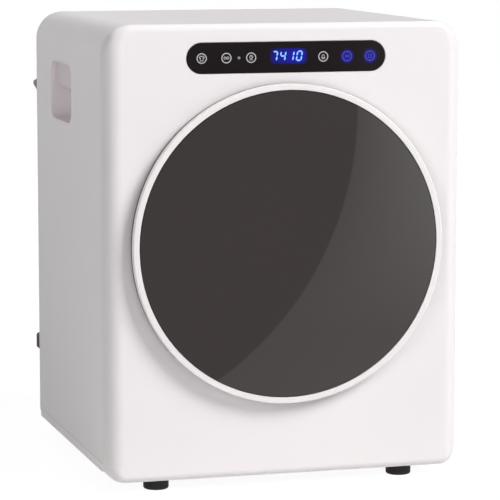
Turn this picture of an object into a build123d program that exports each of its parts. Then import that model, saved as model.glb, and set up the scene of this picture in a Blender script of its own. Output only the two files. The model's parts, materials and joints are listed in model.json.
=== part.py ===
"""Compact vented tumble dryer with a round glass door, in millimetres.

x runs to the right, y to the back and z up, seen by someone who stands before the door.
The origin is on the floor, under the middle of the dryer.
"""

import os

from build123d import *
from OCP.BRepFilletAPI import BRepFilletAPI_MakeFillet

# Cabinet
cabinet_width = 490.0
cabinet_depth = 435.0
cabinet_top = 616.0
foot_height = 15.0
top_corner_radius = 38.0
bottom_corner_radius = 26.0
sheet = 1.0
seam = 0.6

# Moulded front
front_depth = 25.0
front_side_radius = 23.0
front_level_radius = 10.0
front_wall = 3.0
tongue_length = 5.0
tongue_thickness = 1.7
tongue_play = 0.3
collar_wall = 3.0
collar_depth = 33.0

# Base tray
tray_wall = 1.2
tray_height = 24.0
tray_lip_height = 40.0
floor_slot_length = 60.0
floor_slot_width = 5.0
floor_slot_pitch = 14.0
floor_slot_count = 6
floor_slot_spacing = 120.0
floor_slots_setback = 115.0

# Feet
foot_radius = 17.0
foot_round = 3.0
foot_inset_x = 75.0
foot_inset_y = 35.5
foot_recess_radius = 6.5
foot_recess_depth = 8.0
foot_screw_radius = 2.4
foot_screw_length = 14.0
foot_screw_head_radius = 4.5
foot_screw_head_height = 3.0

# Drum
drum_axis_z = 326.5
drum_side_room = 25.5
drum_mouth_step = 9.5
drum_front_setback = 43.0
drum_rear_setback = 77.0
drum_neck = 26.0
drum_flare = 10.0
bead_height = 2.5
bead_width = 14.0
bead_crest = 7.0
bead_places = (92.0, 242.0)
drum_slot_count = 16
drum_slot_length = 34.0
drum_slot_width = 7.0
drum_slot_radius = 66.0
drum_back_setback = 2.0
drum_back_rim = 6.0
running_gap = 0.3

# Lifters
lifter_count = 3
lifter_height = 46.0
lifter_base = 62.0
lifter_crest = 16.0
lifter_front_margin = 22.0
lifter_rear_margin = 12.0
lifter_round = 7.0

# Drum bearing
axle_radius = 7.5
shaft_play = 0.05
axle_reach = 25.0
axle_end_room = 4.0
hub_boss_radius = 16.0
hub_flange_radius = 40.0
hub_flange_thickness = 4.0
hub_reach = 24.0
hub_overhang = 4.0
hub_rib_count = 6
hub_rib_width = 4.0
hub_rib_height = 10.0
hub_rib_overlap = 2.0
spider_overlap = 6.0
spider_lip = 2.0
spider_thickness = 5.0
spider_arm_width = 12.0
spider_boss_radius = 18.0

# Lint filter
filter_radius = 92.0
filter_depth = 26.0
filter_wall = 2.5
filter_face = 3.0
filter_slot_count = 20
filter_slot_length = 38.0
filter_slot_width = 6.0
filter_slot_radius = 56.0
filter_mesh_thickness = 0.8
filter_mesh_setback = 10.0
filter_grip_length = 54.0
filter_grip_width = 8.0
filter_grip_height = 12.0
filter_grip_round = 3.9
filter_sleeve_play = 4.0

# Front bulkhead, which closes the drum's mouth
front_bulkhead_gap = 1.5
bulkhead_sheet = 2.5
bulkhead_play = 0.3
bulkhead_top_room = 57.0
bulkhead_flange = 12.0
bulkhead_foot_inset = 44.0
bulkhead_foot_height = 55.0
bulkhead_corner = 85.0
felt_thickness = 3.7
lip_wall = 3.0
lip_length = 26.0
lip_end_margin = 1.0
pad_width = 9.0
pad_angle = 30.0
pad_span = 14.0
felt_width = 11.0
hot_air_slot_count = 9
hot_air_slot_width = 6.0
hot_air_slot_height = 30.0
hot_air_slot_pitch = 11.0

# Rear bulkhead, which carries the drum's axle and the fan
rear_bulkhead_gap = 5.0
shroud_gap = 5.0
shroud_wall = 1.5
shroud_length = 21.0
rear_felt_width = 14.0
rear_felt_margin = 4.0
fan_eye_radius = 54.0
vent_hole_radius = 26.0
vent_hole_inset = 40.0

# Fan and its housing
fan_radius = 82.0
fan_eye = 60.0
fan_setback = 7.5
fan_width = 34.0
fan_plate = 2.0
fan_blade_count = 12
fan_blade_root = 44.0
fan_blade_margin = 1.0
fan_blade_sweep = 18.8
fan_blade_bow = 5.9
fan_blade_thickness = 2.0
fan_sleeve_radius = 13.0
fan_sleeve_inset = 17.0
fan_pulley_radius = 20.0
scroll_room = 10.0
scroll_step = 10.0
scroll_wall = 2.5
scroll_depth = 49.5
scroll_sleeve_play = 3.0
duct_inner_side = 5.0

# Exhaust
spigot_radius = 49.5
spigot_wall = 2.0
spigot_z = 150.0
spigot_stand_out = 18.0
spigot_reach = 12.0
well_room = 16.5
well_wall = 2.0
well_flange = 9.0
well_play = 1.0

# Motor
motor_side_room = 52.0
motor_floor_room = 7.8
motor_radius = 42.0
motor_nose_gap = 3.0
motor_length = 92.0
motor_bell = 18.0
motor_bell_radius = 34.0
motor_nose = 6.0
motor_nose_radius = 14.0
motor_vent_count = 8
motor_vent_width = 8.0
motor_vent_length = 14.0
motor_vent_radius = 25.0
motor_plate_width = 100.0
motor_plate_length = 84.0
motor_plate_thickness = 3.0
motor_plate_corner = 4.0
cradle_width = 94.0
cradle_thickness = 5.0
clamp_thickness = 2.0
motor_cutout_play = 22.0
motor_shaft_radius = 5.0
motor_shaft_overhang = 3.0
drum_drive_radius = 9.0
fan_drive_radius = 34.0
pulley_rim = 2.0
belt_thickness = 2.0
drum_belt_place = 172.0
drum_belt_width = 8.0
fan_belt_setback = 12.0
fan_belt_width = 6.0
capacitor_side_room = 15.0
capacitor_floor_room = 6.3
capacitor_radius = 16.0
capacitor_length = 64.0
capacitor_round = 2.0
capacitor_clip_width = 15.0
capacitor_clip_height = 12.0
capacitor_clip_place = 20.0
power_box_side_room = 27.0
power_box_setback = 120.0
power_box_width = 62.0
power_box_length = 120.0
power_box_height = 58.0
power_box_corner = 4.0
power_box_round = 3.0
power_box_ear_length = 16.0
power_box_ear_width = 24.0
power_box_ear_thickness = 3.0

# Heater
heater_width = 120.0
heater_drop = 186.5
heater_height = 55.0
heater_depth = 30.0
heater_sheet = 1.2
heater_core_width = 96.0
heater_core_height = 30.0
heater_core_depth = 14.0
heater_fin_count = 17
heater_fin_thickness = 1.0
heater_bar = 4.0
heater_inlet_length = 100.0
heater_inlet_width = 14.0
thermostat_inset = 6.0
thermostat_setback = 16.0
thermostat_radius = 5.0
thermostat_height = 8.0
duct_sensor_radius = 9.0
duct_sensor_height = 7.0
duct_sensor_gap = 34.0

# Door
door_side_room = 33.5
door_stand_out = 18.0
door_gap = 1.2
door_wall = 3.0
door_edge_round = 1.3
door_rear_round = 2.0
rim_lip_round = 0.6
rim_width = 8.1
glass_play = 0.6
glass_thickness = 4.0
glass_setback = 0.8
ledge_width = 5.0
ledge_thickness = 3.0
aperture_setback = 59.0
plug_gap = 2.5
plug_end_gap = 9.5
plug_depth = 33.0
inner_frame_wall = 2.0
inner_frame_setback = 1.0
seal_inset = 5.5
seal_width = 10.0
seal_gap = 0.3
grip_height = 90.0
grip_depth = 6.0
grip_reach = 9.0
grip_frame_margin = 1.0
plug_end_chamfer = 4.0
glass_edge = 0.6
door_screw_count = 6
door_screw_inset = 18.0
door_screw_radius = 1.7
door_screw_length = 6.0
door_screw_head_radius = 3.5
door_screw_head_height = 1.5
door_boss_radius = 4.0

# Hinge
hinge_inset = 6.0
hinge_setback = 9.5
hinge_pin_radius = 2.0
hinge_eye_radius = 4.5
hinge_eye_height = 16.0
hinge_notch_play = 1.0
hinge_swing_play = 0.7
hinge_arm_gap = 0.5
hinge_arm_room = 4.0
hinge_neck_room = 3.0
hinge_neck_gap = 2.0
hinge_slot_play = 2.0
hinge_knuckle_setback = 0.5
hinge_knuckle_inset = 1.0
hinge_knuckle_height = 19.0
hinge_arm_thickness = 2.5
hinge_arm_reach = 14.5
hinge_plate_width = 42.0
hinge_plate_height = 64.0
hinge_plate_thickness = 2.0
hinge_plate_corner = 5.0
hinge_screw_inset_x = 30.0
hinge_screw_spacing = 44.0

# Catch
catch_inset = 30.5
striker_width = 5.0
striker_height = 12.0
striker_length = 13.0
catch_play = 1.5
striker_foot = 5.0
striker_tip = 1.5
catch_plate_width = 21.0
catch_plate_height = 46.0
catch_plate_thickness = 2.0
catch_wall = 3.5
catch_depth = 17.0
catch_screw_spacing = 36.0

# Control panel
fascia_length = 271.5
fascia_height = 40.8
fascia_drop = 44.5
fascia_thickness = 2.6
fascia_stand_out = 0.2
fascia_play = 0.3
fascia_seat_wall = 3.0
fascia_ledge = 6.0
fascia_edge = 0.4
fascia_seat_bevel = 0.7
board_thickness = 1.6
board_height = 26.0
key_places = (-117.0, -83.5, -50.0, 48.5, 80.5, 112.5)
key_radius = 6.5
display_width = 46.0
display_height = 18.0
digit_count = 4
digit_pitch = 10.5
digit_width = 6.5
digit_height = 12.6
digit_recess = 1.0
control_tray_depth = 18.0
control_tray_wall = 2.0
board_play = 0.5
board_post_radius = 3.0
board_post_inset = 10.0
board_post_rise = 9.0

# Carry handles
handle_rear_room = 169.0
handle_drop = 103.2
handle_length = 138.0
handle_height = 85.0
handle_corner = 22.0
handle_depth = 36.0
handle_wall = 2.5
handle_flange = 12.0
handle_taper = 4.0
handle_play = 0.3
grip_web_setback = 6.0
grip_web_thickness = 8.0
grip_web_height = 34.0
grip_web_margin = 11.0

# Wall fittings
hook_drop = 103.5
hook_stand_out = 26.0
hook_sheet = 2.0
hook_plate_width = 24.0
hook_plate_height = 60.0
hook_plate_corner = 3.0
hook_side_margin = 0.5
hook_tongue_half = 8.5
hook_tip_low = 2.0
hook_tip_high = 3.0
hook_shoulder = 4.0
hook_shoulder_rise = 6.0
hook_screw_inset = 8.0
buffer_rise = 120.0
buffer_size = 23.0
buffer_stand_out = 26.0
buffer_round = 4.0
buffer_face_round = 3.0
buffer_side_margin = 0.5

# Rear panel
rear_inset = 3.0
flange_width = 15.0
louvre_length = 84.0
louvre_width = 5.0
louvre_pitch = 12.0
louvre_count = 9
louvre_side_room = 94.0
louvre_drop = 180.0
gland_side_room = 44.0
gland_rise = 45.0
gland_bore_radius = 4.0
gland_neck_radius = 9.0
gland_head_radius = 13.0
gland_head = 6.0
gland_bevel = 3.0

# Screws
screw_head_radius = 4.0
screw_head_height = 2.0
screw_shank_radius = 1.7
screw_shank_length = 7.0
screw_play = 0.1
rear_screw_rises = (75.0, 235.0)
rear_screw_drops = (216.0, 56.0)
rear_screw_inset = 122.5
rear_screw_low = 12.0
spigot_screw_count = 4

front_y = door_stand_out - (door_stand_out + cabinet_depth + hook_stand_out) / 2
rear_y = front_y + cabinet_depth
middle_y = (front_y + rear_y) / 2
seam_y = front_y + front_depth
wrap_front = seam_y + seam
rear_sheet_y = rear_y - sheet
tray_top = foot_height + tray_height
wrap_bottom = tray_top + seam
inner_x = cabinet_width / 2 - sheet
tray_floor = foot_height + tray_wall
sides = {"left": -1, "right": 1}
foot_spacing_x = cabinet_width - 2 * foot_inset_x
foot_spacing_y = cabinet_depth - 2 * foot_inset_y
fascia_z = cabinet_top - fascia_drop
handle_y = rear_y - handle_rear_room
handle_z = cabinet_top - handle_drop
hook_z = cabinet_top - hook_drop
buffer_z = foot_height + buffer_rise
gland_x = inner_x - gland_side_room
gland_z = foot_height + gland_rise
panel_rear = front_y + front_wall

# Drum and what stands round it, from front to back
drum_axis = Axis((0, 0, drum_axis_z), (0, 1, 0))
drum_section = Plane.XY.offset(drum_axis_z)
drum_radius = inner_x - drum_side_room
drum_inner = drum_radius - sheet
drum_mouth_radius = drum_radius - drum_mouth_step
mouth_inner = drum_mouth_radius - sheet
lip_radius = mouth_inner - running_gap - felt_thickness
shroud_radius = drum_radius + shroud_gap
drum_front = front_y + drum_front_setback
drum_rear = rear_y - drum_rear_setback
front_bulkhead_rear = drum_front - front_bulkhead_gap
front_bulkhead_front = front_bulkhead_rear - bulkhead_sheet
rear_bulkhead_front = drum_rear + rear_bulkhead_gap
rear_bulkhead_rear = rear_bulkhead_front + bulkhead_sheet
bulkhead_top = cabinet_top - bulkhead_top_room
bulkhead_foot_top = foot_height + bulkhead_foot_height
hub_front = drum_rear - hub_reach
axle_front = rear_bulkhead_front - axle_reach
axle_rear = rear_y - axle_end_room
fan_front = rear_bulkhead_rear + fan_setback
fan_belt_y = rear_y - fan_belt_setback
scroll_start_radius = fan_radius + scroll_room
well_radius = spigot_radius + well_room

# Drive
motor_x = inner_x - motor_side_room - motor_radius
motor_z = tray_floor + motor_floor_room + motor_radius
motor_axis = Axis((motor_x, 0, motor_z), (0, 1, 0))
drum_belt_y = drum_front + drum_belt_place
drum_drive_width = drum_belt_width + 2 * pulley_rim
motor_front = drum_belt_y + (drum_drive_width + pulley_rim) / 2 + motor_nose_gap + motor_nose
motor_shaft_front = drum_belt_y - (drum_drive_width + pulley_rim) / 2 - motor_shaft_overhang
power_box_x = power_box_side_room + power_box_width / 2 - inner_x
power_box_y = front_y + power_box_setback
capacitor_x = inner_x - capacitor_side_room - capacitor_radius
capacitor_z = tray_floor + capacitor_floor_room + capacitor_radius

# Heater
heater_z = drum_axis_z - heater_drop
heater_bottom = heater_z - heater_height / 2
heater_front = front_bulkhead_front - heater_depth

# Door
door_radius = cabinet_width / 2 - door_side_room
aperture_radius = door_radius - aperture_setback
ledge_y = front_y - door_stand_out + glass_setback + glass_thickness
hinge_x = hinge_inset - door_radius
hinge_y = front_y - hinge_setback
catch_x = door_radius - catch_inset
plug_radius = aperture_radius - plug_gap
plug_end_radius = aperture_radius - plug_end_gap
seal_inner_radius = aperture_radius + seal_inset
door_screw_ring = door_radius - door_screw_inset
catch_mouth_width = striker_width + 2 * catch_play
catch_mouth_height = striker_height + 2 * catch_play

# Duct under the fan, which sets the place of the exhaust
duct_left = -scroll_step / 2 - scroll_start_radius - 2 * scroll_step
duct_right = -duct_inner_side
duct_half = (duct_right - duct_left) / 2
duct_x = (duct_left + duct_right) / 2

# Places of the cabinet's screws
edge_screw_x = cabinet_width / 2 - (rear_inset + flange_width) / 2
edge_screw_heights = [foot_height + rise for rise in rear_screw_rises]
edge_screw_heights += [cabinet_top - drop for drop in rear_screw_drops]
rear_screw_places = [(side * edge_screw_x, z) for side in sides.values() for z in edge_screw_heights]
rear_screw_x = cabinet_width / 2 - rear_screw_inset
rear_screw_top = cabinet_top - (rear_inset + flange_width) / 2
for side in sides.values():
    rear_screw_places.append((side * rear_screw_x, rear_screw_top))
    rear_screw_places.append((side * rear_screw_x, foot_height + rear_screw_low))
spigot_screw_ring = well_radius + well_flange / 2
spigot_screw_places = []
for screw_index in range(spigot_screw_count):
    arm = Vector(spigot_screw_ring, 0).rotate(Axis.Z, (screw_index + 0.5) * 360 / spigot_screw_count)
    spigot_screw_places.append((duct_x + arm.X, spigot_z + arm.Y))
hook_x = cabinet_width / 2 - hook_side_margin - hook_plate_width / 2
hook_screw_rise = hook_plate_height / 2 - hook_screw_inset
hook_screw_heights = (hook_z - hook_screw_rise, hook_z + hook_screw_rise)
hook_screw_places = [(side * hook_x, z) for side in sides.values() for z in hook_screw_heights]
hinge_screw_x = hinge_x + hinge_screw_inset_x
hinge_screw_places = [(hinge_screw_x, drum_axis_z + rise * hinge_screw_spacing / 2) for rise in (-1, 1)]
catch_screw_places = [(catch_x, drum_axis_z + rise * catch_screw_spacing / 2) for rise in (-1, 1)]
front_screw_places = hinge_screw_places + catch_screw_places


def facing(y):
    """Upright plane at depth y seen from the front: its x is X and its y is Z."""
    return Plane(origin=(0, y, 0), x_dir=(1, 0, 0), z_dir=(0, -1, 0))


def on_drum_axis(y, turn=0.0):
    """Upright plane at depth y, centred on the drum's axis and turned about it, in degrees."""
    across = Vector(1, 0, 0).rotate(Axis.Y, -turn)
    return Plane(origin=(0, y, drum_axis_z), x_dir=across, z_dir=(0, -1, 0))


def side_facing(side, x):
    """Upright plane at distance x from the middle, looking in from that side."""
    return Plane(origin=(side * x, 0, 0), x_dir=(0, -side, 0), z_dir=(-side, 0, 0))


def cabinet_outline(inset):
    """The cabinet seen from the front, smaller all round by the inset."""
    bottom, top = foot_height + inset, cabinet_top - inset
    with BuildSketch() as outline:
        with Locations((0, (bottom + top) / 2)):
            Rectangle(cabinet_width - 2 * inset, top - bottom)
        corners = outline.vertices().group_by(Axis.Y)
        fillet(corners[-1], top_corner_radius - inset)
        fillet(outline.vertices().group_by(Axis.Y)[0], bottom_corner_radius - inset)
    return outline.sketch


def front_block(inset):
    """The front as a block, its rim rounded wide at the sides and tighter along top and bottom."""
    block = extrude(facing(seam_y) * cabinet_outline(inset), amount=front_depth - inset)
    rim = block.faces().sort_by(Axis.Y)[0].edges()
    rounding = BRepFilletAPI_MakeFillet(block.wrapped)
    rounding.Add(front_side_radius - inset, rim[0].wrapped)
    for index in range(1, rounding.NbEdges(1) + 1):
        stretch = Edge(rounding.Edge(1, index))
        radii = []
        for end in (stretch.position_at(0), stretch.position_at(1)):
            upright = abs(end.X) > cabinet_width / 2 - inset - top_corner_radius / 2
            radii.append((front_side_radius if upright else front_level_radius) - inset)
        rounding.SetRadius(*radii, 1, index)
    rounding.Build()
    return Solid(rounding.Shape())


def finish(piece, name):
    """Label a finished piece and write it."""
    piece.part.label = name
    export_step(piece.part, f"parts/{name}.step")


os.makedirs("parts", exist_ok=True)

outer = cabinet_outline(0)
inside_sheet = cabinet_outline(sheet)
inside_tray = cabinet_outline(tray_wall)

# Cabinet wrap: sides and top bent from one sheet, with a flange for the rear panel
with BuildPart() as cabinet_wrap:
    with BuildSketch(facing(wrap_front)):
        add(outer)
        add(inside_sheet, mode=Mode.SUBTRACT)
        with Locations((0, wrap_bottom)):
            Rectangle(cabinet_width, tray_top, mode=Mode.SUBTRACT, align=(Align.CENTER, Align.MAX))
    extrude(amount=wrap_front - rear_sheet_y)
    with BuildSketch(facing(rear_sheet_y - sheet)):
        add(inside_sheet)
        add(cabinet_outline(flange_width), mode=Mode.SUBTRACT)
        with Locations((0, wrap_bottom)):
            Rectangle(cabinet_width, tray_top, mode=Mode.SUBTRACT, align=(Align.CENTER, Align.MAX))
    extrude(amount=-sheet)
    with BuildSketch(Plane.YZ):
        with Locations((handle_y, handle_z)):
            RectangleRounded(handle_length, handle_height, handle_corner)
    extrude(amount=cabinet_width, both=True, mode=Mode.SUBTRACT)
    with BuildSketch(facing(rear_sheet_y - sheet)):
        with Locations(*rear_screw_places, *hook_screw_places):
            Circle(screw_shank_radius + screw_play)
    extrude(amount=-sheet, mode=Mode.SUBTRACT)
finish(cabinet_wrap, "cabinet_wrap")

# Base tray: rounded lower edge, floor with air slots, lips inside the wrap and a low rear wall
with BuildPart() as base_tray:
    with BuildSketch(facing(wrap_front)):
        add(outer)
        add(inside_tray, mode=Mode.SUBTRACT)
        with Locations((0, tray_top)):
            Rectangle(cabinet_width, cabinet_top, mode=Mode.SUBTRACT, align=(Align.CENTER, Align.MIN))
    extrude(amount=wrap_front - rear_sheet_y)
    lip_front = seam_y + tongue_length + tongue_play
    with BuildSketch(facing(lip_front)):
        for side in sides.values():
            with Locations((side * (cabinet_width / 2 - tray_wall), foot_height + tray_height / 2)):
                lip_align = Align.MAX if side > 0 else Align.MIN
                Rectangle(tray_wall, tray_lip_height, align=(lip_align, Align.MIN))
    extrude(amount=lip_front - rear_sheet_y + sheet)
    with BuildSketch(facing(rear_sheet_y - tray_wall)):
        add(outer)
        with Locations((0, tray_top)):
            Rectangle(cabinet_width, cabinet_top, mode=Mode.SUBTRACT, align=(Align.CENTER, Align.MIN))
    extrude(amount=-tray_wall)
    with BuildSketch(facing(rear_sheet_y - tray_wall)):
        with Locations(*rear_screw_places):
            Circle(screw_shank_radius + screw_play)
    extrude(amount=-tray_wall, mode=Mode.SUBTRACT)
    with BuildSketch(Plane.XY.offset(foot_height)):
        with Locations((0, front_y + floor_slots_setback)):
            with GridLocations(floor_slot_spacing, floor_slot_pitch, 2, floor_slot_count):
                SlotOverall(floor_slot_length, floor_slot_width)
    extrude(amount=tray_wall, mode=Mode.SUBTRACT)
    with BuildSketch(Plane.XY.offset(foot_height)):
        with Locations((0, middle_y)):
            with GridLocations(foot_spacing_x, foot_spacing_y, 2, 2):
                Circle(foot_screw_radius + screw_play)
    extrude(amount=tray_wall, mode=Mode.SUBTRACT)
finish(base_tray, "base_tray")

# Rubber feet
foot_corners = {
    "foot_front_left": (-1, -1),
    "foot_front_right": (1, -1),
    "foot_rear_left": (-1, 1),
    "foot_rear_right": (1, 1),
}
for foot_name, (foot_side, foot_end) in foot_corners.items():
    foot_place = (foot_side * foot_spacing_x / 2, middle_y + foot_end * foot_spacing_y / 2)
    with BuildPart() as foot:
        with BuildSketch(Plane.XY):
            with Locations(foot_place):
                Circle(foot_radius)
        extrude(amount=foot_height)
        fillet(foot.edges().group_by(Axis.Z)[0], foot_round)
        with BuildSketch(Plane.XY):
            with Locations(foot_place):
                Circle(foot_recess_radius)
        extrude(amount=foot_recess_depth, mode=Mode.SUBTRACT)
        with BuildSketch(Plane.XY):
            with Locations(foot_place):
                Circle(foot_screw_radius + screw_play)
        extrude(amount=foot_height, mode=Mode.SUBTRACT)
    finish(foot, foot_name)

with BuildPart() as foot_screws:
    with BuildSketch(Plane.XY.offset(foot_recess_depth)):
        with Locations((0, middle_y)):
            with GridLocations(foot_spacing_x, foot_spacing_y, 2, 2):
                Circle(foot_screw_head_radius)
    extrude(amount=-foot_screw_head_height)
    with BuildSketch(Plane.XY.offset(foot_recess_depth)):
        with Locations((0, middle_y)):
            with GridLocations(foot_spacing_x, foot_spacing_y, 2, 2):
                Circle(foot_screw_radius)
    extrude(amount=foot_screw_length)
finish(foot_screws, "foot_screws")

# Front panel: moulded shell with the loading collar, the seat of the control panel and a tongue
front_outside = front_block(0)
front_inside = front_block(front_wall)
with BuildPart() as front_panel:
    add(front_outside)
    add(front_inside, mode=Mode.SUBTRACT)
    with BuildSketch(facing(seam_y - front_wall)):
        add(cabinet_outline(sheet + tongue_play))
        add(cabinet_outline(sheet + tongue_play + tongue_thickness), mode=Mode.SUBTRACT)
    extrude(amount=-front_wall - tongue_length)
    with BuildSketch(on_drum_axis(front_y)):
        Circle(aperture_radius + collar_wall)
    extrude(amount=-collar_depth)
    with BuildSketch(on_drum_axis(front_y)):
        Circle(aperture_radius)
    extrude(amount=-collar_depth, mode=Mode.SUBTRACT)
    with BuildSketch(facing(front_y + front_wall)):
        with Locations((0, fascia_z)):
            SlotOverall(fascia_length + 2 * fascia_seat_wall, fascia_height + 2 * fascia_seat_wall)
    extrude(amount=-fascia_seat_wall)
    with BuildSketch(facing(front_y)):
        with Locations((0, fascia_z)):
            SlotOverall(fascia_length, fascia_height)
    extrude(amount=fascia_stand_out - fascia_thickness, mode=Mode.SUBTRACT)
    with BuildSketch(facing(front_y)):
        with Locations((0, fascia_z)):
            SlotOverall(fascia_length + 2 * fascia_seat_bevel, fascia_height + 2 * fascia_seat_bevel)
    extrude(amount=-fascia_seat_bevel, taper=45, mode=Mode.SUBTRACT)
    with BuildSketch(facing(front_y)):
        with Locations((0, fascia_z)):
            SlotOverall(fascia_length - 2 * fascia_ledge, fascia_height - 2 * fascia_ledge)
    extrude(amount=-front_wall - fascia_seat_wall, mode=Mode.SUBTRACT)
    with BuildSketch(facing(front_y)):
        with Locations((hinge_x + hinge_arm_reach - hinge_arm_thickness / 2, drum_axis_z)):
            Rectangle(hinge_arm_thickness + 2 * hinge_slot_play, hinge_eye_height + 2 * hinge_slot_play)
        with Locations((catch_x, drum_axis_z)):
            Rectangle(catch_mouth_width, catch_mouth_height)
    extrude(amount=-front_wall, mode=Mode.SUBTRACT)
    with BuildSketch(facing(front_y)):
        with Locations(*front_screw_places):
            Circle(screw_head_radius + screw_play)
    extrude(amount=-screw_head_height, mode=Mode.SUBTRACT)
    with BuildSketch(facing(front_y)):
        with Locations(*front_screw_places):
            Circle(screw_shank_radius + screw_play)
    extrude(amount=-front_wall, mode=Mode.SUBTRACT)
finish(front_panel, "front_panel")

# Control panel: gloss window, touch board, number display and the tray that closes them in
fascia_front = front_y - fascia_stand_out
with BuildPart() as control_fascia:
    with BuildSketch(facing(fascia_front + fascia_thickness)):
        with Locations((0, fascia_z)):
            SlotOverall(fascia_length - 2 * fascia_play, fascia_height - 2 * fascia_play)
    extrude(amount=fascia_thickness)
    chamfer(control_fascia.faces().sort_by(Axis.Y)[0].edges(), fascia_edge)
finish(control_fascia, "control_fascia")

board_length = fascia_length - 2 * fascia_ledge - 2 * fascia_play
board_y = front_y + front_wall + fascia_seat_wall
with BuildPart() as touch_board:
    with BuildSketch(facing(board_y)):
        with Locations((0, fascia_z)):
            Rectangle(board_length, board_height)
    extrude(amount=-board_thickness)
    with BuildSketch(facing(board_y)):
        with Locations(*[(x, fascia_z) for x in key_places]):
            Circle(key_radius)
    extrude(amount=board_y - fascia_front - fascia_thickness)
finish(touch_board, "touch_board")

with BuildPart() as display_module:
    with BuildSketch(facing(board_y)):
        with Locations((0, fascia_z)):
            Rectangle(display_width, display_height)
    extrude(amount=board_y - fascia_front - fascia_thickness)
    with BuildSketch(facing(fascia_front + fascia_thickness)):
        with Locations((0, fascia_z)):
            with GridLocations(digit_pitch, 0, digit_count, 1):
                Rectangle(digit_width, digit_height)
    extrude(amount=-digit_recess, mode=Mode.SUBTRACT)
finish(display_module, "display_module")

control_tray_inside = (board_length + 2 * board_play, board_height + 2 * board_play)
control_tray_outside = tuple(length + 2 * control_tray_wall for length in control_tray_inside)
with BuildPart() as control_tray:
    with BuildSketch(facing(board_y)):
        with Locations((0, fascia_z)):
            Rectangle(*control_tray_outside)
    extrude(amount=-control_tray_depth)
    with BuildSketch(facing(board_y)):
        with Locations((0, fascia_z)):
            Rectangle(*control_tray_inside)
    extrude(amount=-control_tray_depth + control_tray_wall, mode=Mode.SUBTRACT)
    with BuildSketch(facing(board_y + board_thickness)):
        with Locations((0, fascia_z)):
            with GridLocations(board_length - 2 * board_post_inset, 2 * board_post_rise, 2, 2):
                Circle(board_post_radius)
    extrude(amount=-(control_tray_depth - control_tray_wall - board_thickness))
finish(control_tray, "control_tray")


def bulkhead_outline():
    """The full-width inner bulkhead, which stands on the tray's floor between the wrap's sides."""
    half = inner_x - bulkhead_play
    floor = foot_height + tray_wall + bulkhead_play
    with BuildSketch() as outline:
        with Locations((0, bulkhead_foot_top)):
            Rectangle(2 * half, bulkhead_top - bulkhead_foot_top, align=(Align.CENTER, Align.MIN))
        chamfer(outline.vertices().group_by(Axis.Y)[-1], bulkhead_corner)
        with Locations((0, floor)):
            foot_width = 2 * (inner_x - bulkhead_foot_inset)
            Rectangle(foot_width, bulkhead_foot_top - floor, align=(Align.CENTER, Align.MIN))
    return outline.sketch


def flange_sections():
    """The bent side flanges of a bulkhead, which reach the wrap."""
    height = bulkhead_top - bulkhead_corner - bulkhead_foot_top
    with BuildSketch() as sections:
        for side in sides.values():
            with Locations((side * (inner_x - bulkhead_play), bulkhead_foot_top)):
                edge = Align.MAX if side > 0 else Align.MIN
                Rectangle(bulkhead_sheet, height, align=(edge, Align.MIN))
    return sections.sketch


bulkhead = bulkhead_outline()
bulkhead_flanges = flange_sections()

# Front bulkhead: the still ring that the drum's mouth turns on, with the hot-air grille
with BuildPart() as front_bulkhead:
    with BuildSketch(facing(front_bulkhead_front)):
        add(bulkhead)
    extrude(amount=-bulkhead_sheet)
    with BuildSketch(facing(front_bulkhead_front)):
        add(bulkhead_flanges)
    extrude(amount=-bulkhead_flange)
    with BuildSketch(on_drum_axis(front_bulkhead_rear)):
        Circle(lip_radius)
        Circle(lip_radius - lip_wall, mode=Mode.SUBTRACT)
    extrude(amount=-lip_length)
    with BuildSketch(on_drum_axis(front_bulkhead_front)):
        Circle(aperture_radius + 2 * collar_wall + running_gap)
    extrude(amount=bulkhead_flange)
    with BuildSketch(on_drum_axis(front_bulkhead_rear)):
        Circle(aperture_radius + collar_wall + running_gap)
    extrude(amount=bulkhead_flange + bulkhead_sheet, mode=Mode.SUBTRACT)
    with BuildSketch(facing(front_bulkhead_front)):
        with Locations((0, heater_z)):
            with GridLocations(hot_air_slot_pitch, 0, hot_air_slot_count, 1):
                SlotOverall(hot_air_slot_height, hot_air_slot_width, rotation=90)
        for side in sides.values():
            with Locations((side * (inner_x - vent_hole_inset), bulkhead_foot_top + vent_hole_inset)):
                Circle(vent_hole_radius)
    extrude(amount=-bulkhead_sheet, mode=Mode.SUBTRACT)
finish(front_bulkhead, "front_bulkhead")

# Felt and nylon pads between the still lip and the drum's mouth
with BuildPart() as front_felt:
    felt_rear = front_bulkhead_rear + lip_length - lip_end_margin
    with BuildSketch(on_drum_axis(felt_rear)):
        Circle(mouth_inner - running_gap)
        Circle(lip_radius, mode=Mode.SUBTRACT)
    extrude(amount=felt_width)
finish(front_felt, "front_felt")

with BuildPart() as glide_pads:
    pad_rear = front_bulkhead_rear + lip_length - felt_width - 2 * lip_end_margin
    with BuildSketch(on_drum_axis(pad_rear)):
        with PolarLocations(lip_radius, 2, -90 - pad_angle, 2 * pad_angle, endpoint=True):
            Rectangle(pad_span, pad_span)
        Circle(mouth_inner - running_gap, mode=Mode.INTERSECT)
        Circle(lip_radius, mode=Mode.SUBTRACT)
    extrude(amount=pad_width)
finish(glide_pads, "glide_pads")

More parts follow.
